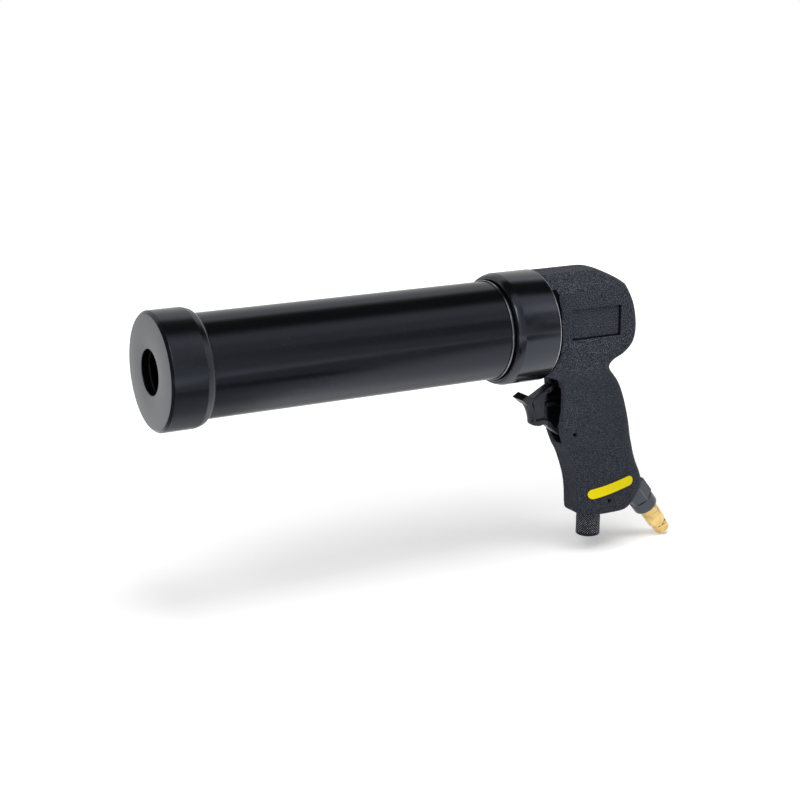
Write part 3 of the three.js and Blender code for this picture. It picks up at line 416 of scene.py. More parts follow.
@dataclass(frozen=True)
class PlainFinish(Finish):
    """Two colours that meet in soft patches, with handling marks in the gloss and a fine grain.

    Attributes:
        base: The main colour.
        worn: The colour of the patches.
        gloss: The roughness.
        spread: How much handling changes the roughness.
        marks: The fineness of the handling marks.
        patches: The patches' fineness and detail, and the noise from which and to which they set in.
        grain: The grain's fineness and detail, and its depth in metres.
        metallic: 1 for bare metal.
        specular: The strength of the reflections.
        tint: Their colour.
    """

    base: Colour = (0.0, 0.0, 0.0)
    worn: Colour = (0.0, 0.0, 0.0)
    gloss: float = 0.25
    spread: float = 0.1
    marks: float = 120.0
    patches: tuple[float, float, float, float] = (140.0, 4.0, 0.4, 0.7)
    grain: tuple[float, float, float] = (2400.0, 3.0, 0.000002)
    metallic: float = 0.0
    specular: float = 0.5
    tint: tuple = WHITE

    def wire(self, wiring: Wiring, shader: Node, place: NodeSocket) -> None:
        """Wires the patches, the handling marks and the grain."""
        scale, detail, low, high = self.patches
        share = wiring.remap(wiring.noise(place, scale, detail), low, high, 0.0, 1.0)
        smudge = Smudge.place(
            wiring, Vector=place, Size=self.marks, Gloss=self.gloss, Spread=self.spread, Dust=0.0
        )
        scale, detail, depth = self.grain
        wiring.feed(shader, {
            "Base Color": wiring.mix(share, rgba(self.base), rgba(self.worn)),
            "Roughness": smudge["Roughness"],
            "Metallic": self.metallic,
            "Specular IOR Level": self.specular,
            "Specular Tint": self.tint,
            "Normal": self.bump(wiring, wiring.noise(place, scale, detail), depth),
        })


@dataclass(frozen=True)
class MouldedPlastic(PlainFinish):
    """Satin black moulded plastic, faintly uneven and slightly paler where it is handled."""

    title: str = "moulded_plastic"
    slot: str = "trigger_plastic"
    base: Colour = (0.006, 0.0063, 0.0078)
    worn: Colour = (0.014, 0.0145, 0.017)
    spread: float = 0.12
    marks: float = 60.0
    patches: tuple[float, float, float, float] = (90.0, 3.0, 0.45, 0.75)
    grain: tuple[float, float, float] = (3200.0, 2.0, 0.00001)
    specular: float = 0.38
    tint: tuple = COOL


@dataclass(frozen=True)
class BareMetal(PlainFinish):
    """Bare or blued metal, with fine machining marks and a colour that drifts a little."""

    title: str = "bright_steel"
    slot: str = "steel"
    base: Colour = (0.55, 0.56, 0.58)
    worn: Colour = (0.42, 0.42, 0.44)
    metallic: float = 1.0


@dataclass(frozen=True)
class MattRubber(PlainFinish):
    """Black seal rubber with a bloom of talc."""

    title: str = "matt_rubber"
    slot: str = "rubber"
    base: Colour = (0.012, 0.012, 0.013)
    worn: Colour = (0.06, 0.06, 0.062)
    gloss: float = 0.78
    spread: float = 0.0
    patches: tuple[float, float, float, float] = (160.0, 5.0, 0.5, 0.85)
    grain: tuple[float, float, float] = (2600.0, 2.0, 0.00001)


@dataclass(frozen=True)
class KnurledSteel(Finish):
    """Blackened steel whose diamond tips are worn bright."""

    CREST_MASK = "knurl_crest"

    title: str = "knurled_steel"
    slot: str = "blued_steel"
    base: Colour = (0.0045, 0.0048, 0.0065)
    worn: Colour = (0.52, 0.53, 0.57)
    metallic: float = 0.7
    grain: float = 0.000004

    def wire(self, wiring: Wiring, shader: Node, place: NodeSocket) -> None:
        """Wires bright tips, fewer where the noise is low, over the black."""
        crest = wiring.add("Attribute", attribute_name=self.CREST_MASK).outputs["Fac"]
        tips = wiring.remap(crest, 0.62, 0.95, 0.0, 1.0)
        patches = wiring.noise(place, 700.0, 3.0)
        share = wiring.maths("MULTIPLY", tips, wiring.remap(patches, 0.4, 0.6, 0.35, 1.0))
        smudge = Smudge.place(wiring, Vector=place, Size=120.0, Gloss=0.36, Spread=0.08, Dust=0.0)
        wiring.feed(shader, {
            "Base Color": wiring.mix(share, rgba(self.base), rgba(self.worn)),
            "Roughness": smudge["Roughness"],
            "Metallic": self.metallic,
            "Specular Tint": COOL,
            "Normal": self.bump(wiring, patches, self.grain),
        })


@dataclass(frozen=True)
class YellowFilm(Finish):
    """Yellow printed film with a thin darker rim, which stands partly for painted shade along its edge, and a
    few scuffs.
    """

    title: str = "yellow_film"
    slot: str = "label"
    base: Colour = (0.87, 0.72, 0.005)
    rim: Colour = (0.03, 0.025, 0.004)
    scuffed: Colour = (0.72, 0.58, 0.02)
    specular: float = 0.15
    grain: float = 0.00001

    def wire(self, wiring: Wiring, shader: Node, place: NodeSocket) -> None:
        """Wires the darker rim, partly painted shade along the film's edge, from the film's own mask, and the
        scuffs over it.
        """
        mask = wiring.add("Attribute", attribute_name=GripLabel.RIM_MASK).outputs["Fac"]
        edge = wiring.remap(mask, 0.85, 0.9, 0.0, 1.0)
        scuffs = wiring.noise(place, 420.0, 5.0)
        worn = wiring.remap(scuffs, 0.56, 0.8, 0.0, 0.35)
        yellow = wiring.mix(worn, rgba(self.base), rgba(self.scuffed))
        smudge = Smudge.place(wiring, Vector=place, Size=90.0, Gloss=0.38, Spread=0.1, Dust=0.0)
        wiring.feed(shader, {
            # The rim turns dark: partly painted shade along the film's edge.
            "Base Color": wiring.mix(edge, yellow, rgba(self.rim)),
            "Roughness": smudge["Roughness"],
            "Specular IOR Level": self.specular,
            "Normal": self.bump(wiring, scuffs, self.grain),
        })


POWDER = PowderCoat()
# A near-black copy of the powder coat: painted shade for the slot's inside, the recess's walls and lines and
# the neck behind the union nut.
PAINTED_SHADE_COAT = PowderCoat(title="painted_shade_coat", base=(0.003, 0.0032, 0.004), speck=(0.03, 0.032, 0.038))
STEEL = BareMetal()
RUBBER = MattRubber()
FILM = YellowFilm()
PLASTIC = MouldedPlastic()
RING_PLASTIC = MouldedPlastic("ring_plastic", "ring_plastic", (0.02, 0.02, 0.02), gloss=0.5)
# Near-black plastic that barely reflects: painted shade on the horn's top face and inside the small round
# marks.
PAINTED_SHADE_PLASTIC = MouldedPlastic(
    "painted_shade_plastic", base=(0.001, 0.001, 0.001), worn=(0.004, 0.004, 0.004), gloss=0.75, specular=0.08
)
# Dark steel: painted shade, on the valve stem in the slot and in the ring where the bushing's hexagon meets
# its nose.
SHADED_DARK_STEEL = BareMetal("dark_steel_painted_shade", base=(0.02, 0.02, 0.022), worn=(0.012, 0.012, 0.013), gloss=0.45)
SPRING_STEEL = BareMetal("blackened_spring_steel", base=(0.06, 0.06, 0.065), worn=(0.03, 0.03, 0.032))
RING_WIRE = BareMetal("ring_wire", base=(0.2, 0.205, 0.22), worn=(0.12, 0.123, 0.13), gloss=0.16)
# Bright bare metal for the rear edges of cap and union nut: partly a bare edge, partly a painted highlight.
BARE_EDGE_HIGHLIGHT = BareMetal("bare_edge_highlight", "cap_aluminium", (0.62, 0.63, 0.66), (0.3, 0.31, 0.33))
BLUED = BareMetal("blued_steel", "blued_steel", (0.05, 0.06, 0.08), (0.02, 0.025, 0.036), 0.2)
WORN_BLUE = BareMetal("worn_blue", "blued_steel", (0.1, 0.104, 0.12), (0.07, 0.073, 0.09), 0.22)
BRASS = BareMetal("polished_brass", "brass", (0.64, 0.47, 0.2), (0.44, 0.3, 0.1), 0.12)


# ------------------------------------------------------------------ places and meshes


@dataclass(frozen=True)
class Datum:
    """Where the gun lies in the row's frame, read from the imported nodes.

    Attributes:
        cap_x: The front cap's outer face.
        head_x: The head's front face.
        axis_z: The height of the barrel's axis.
    """

    cap_x: float
    head_x: float
    axis_z: float

    @classmethod
    def read(cls, fit: float = 0.3) -> Datum:
        """Reads the datum.

        Args:
            fit: The gap between the union nut and the head, in millimetres.

        Returns:
            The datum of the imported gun.
        """
        low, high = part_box("barrel_tube")
        return cls(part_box("front_cap")[0].x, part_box("union_collar")[1].x + fit * MM, (low.z + high.z) / 2)

    def barrel(self) -> Matrix:
        """Returns the frame of the barrel: millimetres from the cap's face."""
        return Matrix.Translation((self.cap_x, 0, self.axis_z)) @ Matrix.Scale(MM, 4)

    def head(self) -> Matrix:
        """Returns the frame of head and grip: millimetres from the head's front face."""
        return Matrix.Translation((self.head_x, 0, self.axis_z)) @ Matrix.Scale(MM, 4)


class Shape:
    """Ways to make and finish a mesh."""

    @staticmethod
    def from_mesh(name: str, bm: BMesh, place: Matrix) -> Object:
        """Turns a bmesh into an object whose mesh is in the row's frame.

        Args:
            name: The object's name.
            bm: The mesh, in the units of place. It is freed.
            place: The frame that the mesh is drawn in.

        Returns:
            The new object.
        """
        bm.transform(place)
        bmesh.ops.recalc_face_normals(bm, faces=bm.faces)
        mesh = bpy.data.meshes.new(name)
        bm.to_mesh(mesh)
        bm.free()
        piece = bpy.data.objects.new(name, mesh)
        bpy.context.scene.collection.objects.link(piece)
        return piece

    @staticmethod
    def skin(bm: BMesh, rings: Sequence[Sequence[BMVert]]) -> None:
        """Joins closed rings of equal length into a skin with flat ends."""
        count = len(rings[0])
        for here, after in zip(rings, rings[1:]):
            for index in range(count):
                turn = (index + 1) % count
                bm.faces.new((here[index], here[turn], after[turn], after[index]))
        bm.faces.new(rings[0])
        bm.faces.new(rings[-1][::-1])

    @staticmethod
    def settle(piece: Object) -> Object:
        """Applies the modifiers of a piece to its mesh."""
        graph = bpy.context.evaluated_depsgraph_get()
        mesh = bpy.data.meshes.new_from_object(piece.evaluated_get(graph))
        old, piece.data = piece.data, mesh
        piece.modifiers.clear()
        bpy.data.meshes.remove(old)
        mesh.name = piece.name
        return piece

    @staticmethod
    def soften(piece: Object, voxel: float, rounds: int) -> Object:
        """Joins the shells of a piece into one skin with soft edges, as a casting or a moulding has.

        Args:
            piece: The piece, made of closed shells that may overlap.
            voxel: The size of the skin's cells, in millimetres.
            rounds: How many times the skin is smoothed.

        Returns:
            The same piece.
        """
        remesh = piece.modifiers.new("skin", "REMESH")
        remesh.mode = "VOXEL"
        remesh.voxel_size = voxel * MM
        smooth = piece.modifiers.new("soft", "SMOOTH")
        smooth.factor = 0.5
        smooth.iterations = rounds
        return Shape.settle(piece)

    @staticmethod
    def cut(piece: Object, cutters: Iterable[Object]) -> Object:
        """Cuts closed shapes out of a piece and removes them."""
        made = list(cutters)
        for cutter in made:
            boolean = piece.modifiers.new("cut", "BOOLEAN")
            boolean.operation = "DIFFERENCE"
            boolean.solver = "EXACT"
            boolean.object = cutter
        Shape.settle(piece)
        for cutter in made:
            bpy.data.objects.remove(cutter)
        return piece

    @staticmethod
    def join(piece: Object, parts: Iterable[Object]) -> Object:
        """Adds the shells of other pieces to a piece and removes them."""
        bm = bmesh.new()
        bm.from_mesh(piece.data)
        for part in parts:
            bm.from_mesh(part.data)
            bpy.data.objects.remove(part)
        bm.to_mesh(piece.data)
        bm.free()
        return piece

    @staticmethod
    def paint(piece: Object, finish: Finish, place: Matrix, where: Callable[[Vector], bool]) -> None:
        """Gives some faces of a dressed piece a second finish.

        Args:
            piece: The piece.
            finish: The second finish.
            place: The frame in which the test is made.
            where: Says from a face's centre whether it takes the second finish.
        """
        piece.data.materials.append(finish.material())
        index = len(piece.data.materials) - 1
        inward = place.inverted()
        for face in piece.data.polygons:
            if where(inward @ face.center):
                face.material_index = index

    @staticmethod
    def finish(
        piece: Object,
        finish: Finish,
        body: str,
        replaces: Sequence[str] = (),
        angle: float = 35.0,
    ) -> Object:
        """Dresses a piece and fixes it to its body.

        Args:
            piece: The piece.
            finish: Its finish.
            body: The body that it rides on.
            replaces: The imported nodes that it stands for.
            angle: The angle in degrees above which an edge stays crisp.

        Returns:
            The same piece.
        """
        piece.data.shade_smooth()
        piece.data.set_sharp_from_angle(angle=math.radians(angle))
        piece.data.materials.clear()
        piece.data.materials.append(finish.material())
        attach(piece, body)
        if replaces:
            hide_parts(*replaces)
        LOG.info("%s: %d faces on %s", piece.name, len(piece.data.polygons), body)
        return piece


def round_corners(profile: Sequence[Point | Corner], radius: float = 0.15, steps: int = 4) -> list[Point]:
    """Rounds the corners of a closed profile.

    Args:
        profile: The profile's corners. A third number is that corner's own round.
        radius: How far from each corner its round starts, at most.
        steps: Segments in each round.

    Returns:
        The rounded profile.
    """
    count = len(profile)
    rounded: list[Point] = []
    for index, corner in enumerate(profile):
        here, before, after = (Vector(profile[k % count][:2]) for k in (index, index - 1, index + 1))
        back, ahead = before - here, after - here
        reach = min(corner[2] if len(corner) > 2 else radius, 0.48 * back.length, 0.48 * ahead.length)
        if reach == 0 or here.y == 0:
            rounded.append((here.x, here.y))
            continue
        start, end = here + back.normalized() * reach, here + ahead.normalized() * reach
        for step in range(steps + 1):
            share = step / steps
            point = start.lerp(here, share).lerp(here.lerp(end, share), share)
            rounded.append((point.x, point.y))
    return rounded


def thread(start: float, end: float, radius: float, pitch: float, depth: float) -> list[Point]:
    """Returns the profile of a thread's crests and roots between two distances."""
    turns = max(1, round(abs(end - start) / pitch))
    step = (end - start) / turns
    points: list[Point] = []
    for turn in range(turns):
        at = start + turn * step
        points += [(at + 0.1 * step, radius), (at + 0.4 * step, radius)]
        points += [(at + 0.6 * step, radius - depth), (at + 0.9 * step, radius - depth)]
    return points


def revolve(
    name: str,
    profile: Sequence[Point],
    place: Matrix,
    segments: int = 144,
    warp: Callable[[float, float, float], float] | None = None,
    slit: float = 0.0,
) -> Object:
    """Turns a closed profile of (distance, radius) points about the X axis of a frame.

    Args:
        name: The object's name.
        profile: The profile. Points on the axis become a single vertex.
        place: The frame.
        segments: Facets round the axis.
        warp: Gives a radius from the angle, the distance and the plain radius.
        slit: The angle in radians that stays open, as in a split ring.

    Returns:
        The new object.
    """
    bm = bmesh.new()
    rings: list[list[BMVert]] = []
    for along, radius in profile:
        if radius < 1e-6:
            rings.append([bm.verts.new((along, 0, 0))])
            continue
        ring = []
        for index in range(segments + (slit > 0)):
            turn = slit / 2 + (2 * math.pi - slit) * index / segments
            reach = warp(turn, along, radius) if warp else radius
            ring.append(bm.verts.new((along, reach * math.sin(turn), reach * math.cos(turn))))
        rings.append(ring)
    for here, after in zip(rings, rings[1:] + rings[:1]):
        if len(here) == 1 and len(after) == 1:
            continue
        for index in range(segments):
            turn = index + 1
            loop = [here[index % len(here)], after[index % len(after)]]
            loop += [after[turn % len(after)], here[turn % len(here)]]
            bm.faces.new(list(dict.fromkeys(loop)))
    if slit > 0:
        bm.faces.new([ring[0] for ring in rings])
        bm.faces.new([ring[-1] for ring in rings[::-1]])
    return Shape.from_mesh(name, bm, place)


def prism(name: str, outline: Sequence[Point], low: float, high: float, place: Matrix) -> Object:
    """Extrudes an outline drawn in X and Z across the gun.

    Args:
        name: The object's name.
        outline: The outline's corners, as (x, z).
        low: Where it starts, in Y.
        high: Where it ends, in Y.
        place: The frame.

    Returns:
        The new object.
    """
    bm = bmesh.new()
    near = [bm.verts.new((x, low, z)) for x, z in outline]
    far = [bm.verts.new((x, high, z)) for x, z in outline]
    bm.faces.new(near)
    bm.faces.new(far[::-1])
    for index in range(len(outline)):
        after = (index + 1) % len(outline)
        bm.faces.new((near[index], near[after], far[after], far[index]))
    return Shape.from_mesh(name, bm, place)


def circle(centre: Point, radius: float, facets: int = 48) -> list[Point]:
    """Returns a round outline."""
    turns = [2 * math.pi * index / facets for index in range(facets)]
    return [(centre[0] + radius * math.cos(turn), centre[1] + radius * math.sin(turn)) for turn in turns]


def quadratic(start: Point, control: Point, end: Point, steps: int = 8) -> list[Point]:
    """Returns the points of a quadratic curve, without its start."""
    bend = Vector(control)
    points = []
    for step in range(1, steps + 1):
        share = step / steps
        first, last = Vector(start).lerp(bend, share), bend.lerp(Vector(end), share)
        middle = first.lerp(last, share)
        points.append((middle.x, middle.y))
    return points


def spline(points: Sequence[Point], steps: int = 5) -> list[Point]:
    """Returns a smooth curve through points, without its start."""
    curve: list[Point] = []
    for index in range(len(points) - 1):
        around = [Vector(points[min(max(index + k, 0), len(points) - 1)]) for k in (-1, 0, 1, 2)]
        for step in range(1, steps + 1):
            point = catmull(around, step / steps)
            curve.append((point.x, point.y))
    return curve


def catmull(around: Sequence[Vector], share: float) -> Vector:
    """Returns the point at a share of the way between the middle two of four points."""
    a, b, c, d = around
    slope_in, slope_out = (c - a) / 2, (d - b) / 2
    cubic = (2 * b - 2 * c + slope_in + slope_out) * share**3
    square = (-3 * b + 3 * c - 2 * slope_in - slope_out) * share**2
    return cubic + square + slope_in * share + b


def along_x(axis: Sequence[float], centre: Sequence[float], place: Matrix) -> Matrix:
    """Returns a frame whose X axis runs along an axis through a point of another frame."""
    turn = Vector((1, 0, 0)).rotation_difference(Vector(axis)).to_matrix().to_4x4()
    return place @ Matrix.Translation(centre) @ turn


# ------------------------------------------------------------------ bodies


class Body(Enum):
    """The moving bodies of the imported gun."""

    HEAD = "gun_body"
    TRIGGER = "trigger"
    STEM = "valve_stem"
    REGULATOR = "regulator"
    BARREL = "barrel"
    UNION = "union_nut"
    CAP_RING = "cap_ring"
    CAP = "cap"


# ------------------------------------------------------------------ barrel


@dataclass(frozen=True)
class Barrel:
    """The closed barrel with its screw cap, its union nut and the seals at its rear."""

    datum: Datum
    tube_r: float = 28.0
    wall: float = 1.75
    front: float = 5.9
    rear: float = 211.7
    flange_r: float = 30.1
    flange_front: float = 209.3
    cap_r: float = 31.9
    cap_bore_r: float = 28.3
    cap_length: float = 24.5
    hole_r: float = 12.2
    collar_front: float = 204.9
    collar_rear: float = 232.8
    collar_r: float = 32.2
    collar_bore_r: float = 30.5
    collar_drop: float = 1.8
    collar_shoulder: float = 4.4
    pitch: float = 1.75
    segments: int = 192
    bare_edge_highlight: float = 0.42

    def anodised(self, title: str, **values: float | Colour) -> BlackAnodised:
        """Returns a black finish whose turned lines run round the barrel's axis."""
        centre = (self.datum.cap_x, 0.0, self.datum.axis_z)
        return BlackAnodised(title=title, centre=centre, **values)

    def tube(self) -> Object:
        """Builds the tube, with its thread under the cap and its turned flange."""
        bore = self.tube_r - self.wall
        corners: Profile = [(self.front, bore, 0.4), (self.front, self.tube_r - 0.8, 0.4)]
        corners += thread(self.front + 0.8, self.cap_length - 3.5, self.tube_r, self.pitch, 0.7)
        corners += [
            (self.cap_length - 2.2, self.tube_r - 0.7),
            (self.cap_length - 1.2, self.tube_r, 0.3),
            (self.flange_front, self.tube_r, 0.5),
            (self.flange_front, self.flange_r, 0.3),
            (self.rear, self.flange_r, 0.3),
            (self.rear, bore, 0.3),
        ]
        piece = revolve("barrel_tube_turned", round_corners(corners), self.datum.barrel(), self.segments)
        finish = self.anodised("tube_black", gloss=0.17, specular=0.36)
        return Shape.finish(piece, finish, Body.BARREL.value, ["barrel_tube"])

    def cap(self) -> Object:
        """Builds the front cap, with its rounded edge, tapered skirt and inner thread."""
        rear, bore = self.cap_length, self.cap_bore_r
        corners: Profile = [
            (0, self.hole_r, 0.5),
            (0, self.cap_r - 1.5, 0.35),
            (1.5, self.cap_r, 0.4),
            (rear - 5.0, self.cap_r, 0.5),
            (rear - 1.5, bore + 2.6, 0.9),
            (rear, bore + 1.1, 0.25),
            (rear, bore + 0.6, 0.1),
            (rear - 0.6, bore, 0.1),
        ]
        corners += thread(rear - 1.5, 7.0, bore, self.pitch, -0.6)
        corners += [(6.2, bore + 0.6), (4.0, bore + 0.6, 0.3), (4.0, self.hole_r, 0.3)]
        place = self.datum.barrel()
        piece = revolve("front_cap_turned", round_corners(corners, 0.12, 5), place, self.segments)
        finish = self.anodised("cap_black", gloss=0.22, specular=0.5)
        Shape.finish(piece, finish, Body.CAP.value, ["front_cap"])
        # Painted shade: the nozzle hole's wall is near black and barely reflects.
        dark = self.anodised("cap_hole_painted_shade", gloss=0.7, specular=0.04, base=(0.0006, 0.0006, 0.0007))

        def in_hole(spot: Vector) -> bool:
            """Picks the wall of the nozzle's hole, which takes painted shade."""
            return spot.x > 0.3 and spot.yz.length < self.hole_r + 0.6

        def rear_edge(spot: Vector) -> bool:
            """Picks the outer round of the skirt's rear edge, painted bright: partly a bare edge, partly a
            painted highlight.
            """
            return spot.x > rear - 0.16 and spot.yz.length > bore + 1.0

        Shape.paint(piece, dark, place, in_hole)
        Shape.paint(piece, BARE_EDGE_HIGHLIGHT, place, rear_edge)
        return piece

    def collar(self) -> Object:
        """Builds the union nut, with its polished shoulder and inner thread."""
        lip_r = self.tube_r + 0.8
        front, rear = self.collar_front, self.collar_rear
        bore, outer, drop = self.collar_bore_r, self.collar_r, self.collar_drop
        corners: Profile = [
            (front, lip_r, 0.4),
            (front, outer - drop, 0.8),
            (front + 0.4 * self.collar_shoulder, outer - 0.4 * drop, 1.2),
            (front + self.collar_shoulder, outer, 0.3),
            (rear, outer, 0.45),
            (rear, bore + 0.5, 0.1),
            (rear - 0.5, bore, 0.1),
        ]
        corners += thread(rear - 1.4, front + 9.5, bore, self.pitch, -0.6)
        corners += [(front + 8.6, bore, 0.2), (front + 3.2, bore, 0.3), (front + 3.2, lip_r, 0.3)]
        place = self.datum.barrel()
        piece = revolve("union_collar_turned", round_corners(corners, 0.12, 5), place, self.segments)
        finish = self.anodised("collar_black", gloss=0.17, specular=0.56)
        Shape.finish(piece, finish, Body.UNION.value, ["union_collar"])

        def rear_edge(spot: Vector) -> bool:
            """Picks the round of the outer rear edge, painted bright: partly a bare edge, partly a painted
            highlight.
            """
            return spot.x > rear - self.bare_edge_highlight and spot.yz.length > outer - self.bare_edge_highlight

        Shape.paint(piece, BARE_EDGE_HIGHLIGHT, place, rear_edge)
        return piece

    def retaining_ring(self) -> Object:
        """Builds the split wire ring that stops the union nut."""
        rear = self.collar_front - 1.0
        front = rear - 1.4
        inner = self.tube_r + 0.1
        heights = ((front, 0.0), (front, 0.5), (rear - 0.7, 0.7), (rear, 0.5), (rear, 0.0))
        wire = round_corners([(x, inner + height, 0.4) for x, height in heights], steps=3)
        piece = revolve("snap_ring_wire", wire, self.datum.barrel(), self.segments, slit=0.03)
        return Shape.finish(piece, RING_WIRE, Body.BARREL.value, ["snap_ring"])

    def cushion(self) -> Object:
        """Builds the ring inside the cap that bears on the cartridge's shoulder."""
        inner = self.hole_r + 1.2
        corners: Profile = [
            (4.05, inner, 0.3),
            (4.05, self.tube_r, 0.2),
            (5.85, self.tube_r, 0.3),
            (5.85, inner + 1.2, 0.3),
            (5.25, inner, 0.3),
        ]
        piece = revolve("cap_cushion_ring", round_corners(corners), self.datum.barrel())
        return Shape.finish(piece, RUBBER, Body.CAP_RING.value, ["cap_cushion"])

    def gasket(self) -> Object:
        """Builds the flat seal between the tube's flange and the spigot."""
        inner, outer = self.tube_r - self.wall, self.flange_r - 0.6
        front, rear = self.rear + 0.1, self.rear + 2.0
        corners = [(front, inner, 0.3), (front, outer, 0.3), (rear, outer, 0.3), (rear, inner, 0.3)]
        piece = revolve("barrel_gasket_ring", round_corners(corners), self.datum.barrel())
        return Shape.finish(piece, RUBBER, Body.HEAD.value, ["barrel_gasket"])

    def rim_seal(self) -> Object:
        """Builds the tapered rubber ring that presses on the cartridge's rear rim."""
        rear = self.rear + 2.0
        front = rear - 4.2
        outer = self.tube_r - self.wall - 1.0
        inner = outer - 7.25
        corners: Profile = [
            (front + 1.5, inner, 0.5),
            (front, inner + 1.5, 0.5),
            (front, outer - 2.2, 0.5),
            (rear - 1.2, outer, 0.5),
            (rear, outer, 0.2),
            (rear, inner, 0.2),
        ]
        piece = revolve("cartridge_seal_ring", round_corners(corners), self.datum.barrel())
        return Shape.finish(piece, RUBBER, Body.HEAD.value, ["cartridge_seal"])

    def build(self) -> None:
        """Builds every piece of the barrel."""
        self.tube()
        self.cap()
        self.collar()
        self.retaining_ring()
        self.cushion()
        self.gasket()
        self.rim_seal()


# ------------------------------------------------------------------ head and grip


@dataclass(frozen=True)
class Station:
    """One level section of the casting.

    Attributes:
        z: Its height.
        front: The x of its flat front.
        rear: The x of its rear.
        half: Its half width.
        flat: The half width of its flat front.
        depth: How deep its rounded rear is.
        power: How square that rounding is.
    """

    z: float
    front: float
    rear: float
    half: float
    flat: float
    depth: float
    power: float

    def ring(self, front_facets: int = 9, rear_facets: int = 16, lean: float = 0.42) -> list[Corner]:
        """Returns the section's points.

        Args:
            front_facets: Facets from the flat front to the widest place.
            rear_facets: Facets from there to the rear.
            lean: The angle in radians by which the side leans in at the flat front.

        Returns:
            The points, from the near front round the rear to the far front.
        """
        widest = self.rear - self.depth
        side: list[Point] = []
        for index in range(front_facets + 1):
            turn = lean + index / front_facets * (math.pi / 2 - lean)
            x = widest - (widest - self.front) * math.cos(turn) / math.cos(lean)
            share = (math.sin(turn) - math.sin(lean)) / (1 - math.sin(lean))
            side.append((x, self.flat + (self.half - self.flat) * share))
        for index in range(1, rear_facets):
            turn = (1 - index / rear_facets) * math.pi / 2
            x = widest + self.depth * math.cos(turn) ** (2 / self.power)
            side.append((x, self.half * math.sin(turn) ** (2 / self.power)))
        near = [(x, -y, self.z) for x, y in side]
        return [*near, (self.rear, 0.0, self.z), *[(x, -y, z) for x, y, z in near[::-1]]]


CASTING: tuple[Station, ...] = (
    Station(30.6, 0, 40.4, 9, 8.9, 8, 3.4),
    Station(29.6, 0, 42.7, 10.9, 10.8, 9, 3.3),
    Station(26.2, 0, 49.9, 15.4, 15.3, 11, 3.1),
    Station(22.6, 0, 55.9, 18.9, 18.8, 13, 3),
    Station(19.6, 0, 58.7, 19.5, 19.4, 14, 3.2),
    Station(10, 0, 62.9, 19.5, 19.4, 14, 3.8),
    Station(0, 0, 64.9, 19.5, 19.4, 14, 4),
    Station(-8, 0, 65, 19.4, 19.3, 14, 4),
    Station(-14, 0, 63.5, 19, 18.9, 14, 3.8),
    Station(-18, 0, 60.4, 18.5, 18.3, 14, 3.6),
    Station(-20.6, 0, 56.9, 18.1, 17.7, 14, 3.5),
    Station(-22.4, 0, 53.1, 17.8, 17.2, 14, 3.4),
    Station(-24.4, 0.1, 50.5, 17.5, 16.6, 14, 3.4),
    Station(-26.8, 0.9, 49.2, 17.1, 15.6, 15, 3.4),
    Station(-29.4, 4.9, 50, 16.7, 14, 16, 3.4),
    Station(-31.8, 11.4, 51.9, 16.3, 12.2, 17, 3.4),
    Station(-34.4, 16.1, 54.3, 15.9, 11, 18, 3.4),
    Station(-40, 17.2, 58.4, 15.3, 10.7, 19, 3.4),
    Station(-50, 17.2, 62.6, 14.9, 10.6, 20, 3.4),
    Station(-63, 17.9, 66.3, 14.7, 10.5, 21, 3.4),
    Station(-74, 20.9, 68.4, 14.6, 9.2, 22, 3.4),
    Station(-80, 23.7, 69.9, 14.6, 8, 22, 3.4),
    Station(-86, 26, 71.5, 14.6, 7.7, 22, 3.4),
    Station(-92, 28.1, 73.7, 14.7, 7.6, 22, 3.4),
    Station(-98, 29.7, 76.5, 14.8, 7.5, 23, 3.4),
    Station(-104, 30.6, 77.7, 14.9, 7.4, 23, 3.4),
    Station(-110, 31, 75.1, 15, 7.3, 22, 3.6),
    Station(-114.6, 31.2, 71.1, 15, 7.2, 20, 4),
    Station(-117.6, 31.6, 67.3, 14.8, 6.9, 18, 4.4),
    Station(-118.9, 32.5, 64.5, 14, 6.3, 16, 4.4),
)


@dataclass(frozen=True)
class Grip:
    """The places in head and grip that several pieces share."""

    pivot: Point = (24.8, -66.7)
    pivot_pin_r: float = 1.5
    slot_floor: float = 30.4
    slot_bottom: float = -72.3
    trigger_rear: float = -15.0
    valve_z: float = -49.0
    bottom: float = -118.9
    regulator_x: float = 44.5
    regulator_pin: Point = (49.47, -110.9)
    regulator_pin_r: float = 1.4
    inlet_end: Point = (88.0, -124.2)
    inlet_angle: float = math.radians(51.7)

    def inlet(self, place: Matrix) -> Matrix:
        """Returns the frame along the inlet's axis, with x = 0 at the bushing's end face."""
        axis = (math.cos(self.inlet_angle), 0, -math.sin(self.inlet_angle))
        return along_x(axis, (self.inlet_end[0], 0, self.inlet_end[1]), place)

    def valve(self, place: Matrix) -> Matrix:
        """Returns the frame along the valve's axis."""
        return place @ Matrix.Translation((0, 0, self.valve_z))

    def regulator(self, place: Matrix) -> Matrix:
        """Returns the frame up the regulator's axis, with x = 0 at the grip's bottom."""
        return along_x((0, 0, 1), (self.regulator_x, 0, self.bottom), place)

    def across(self, centre: Point, place: Matrix) -> Matrix:
        """Returns the frame of a pin across the grip."""
        return along_x((0, 1, 0), (centre[0], 0, centre[1]), place)


GRIP = Grip()


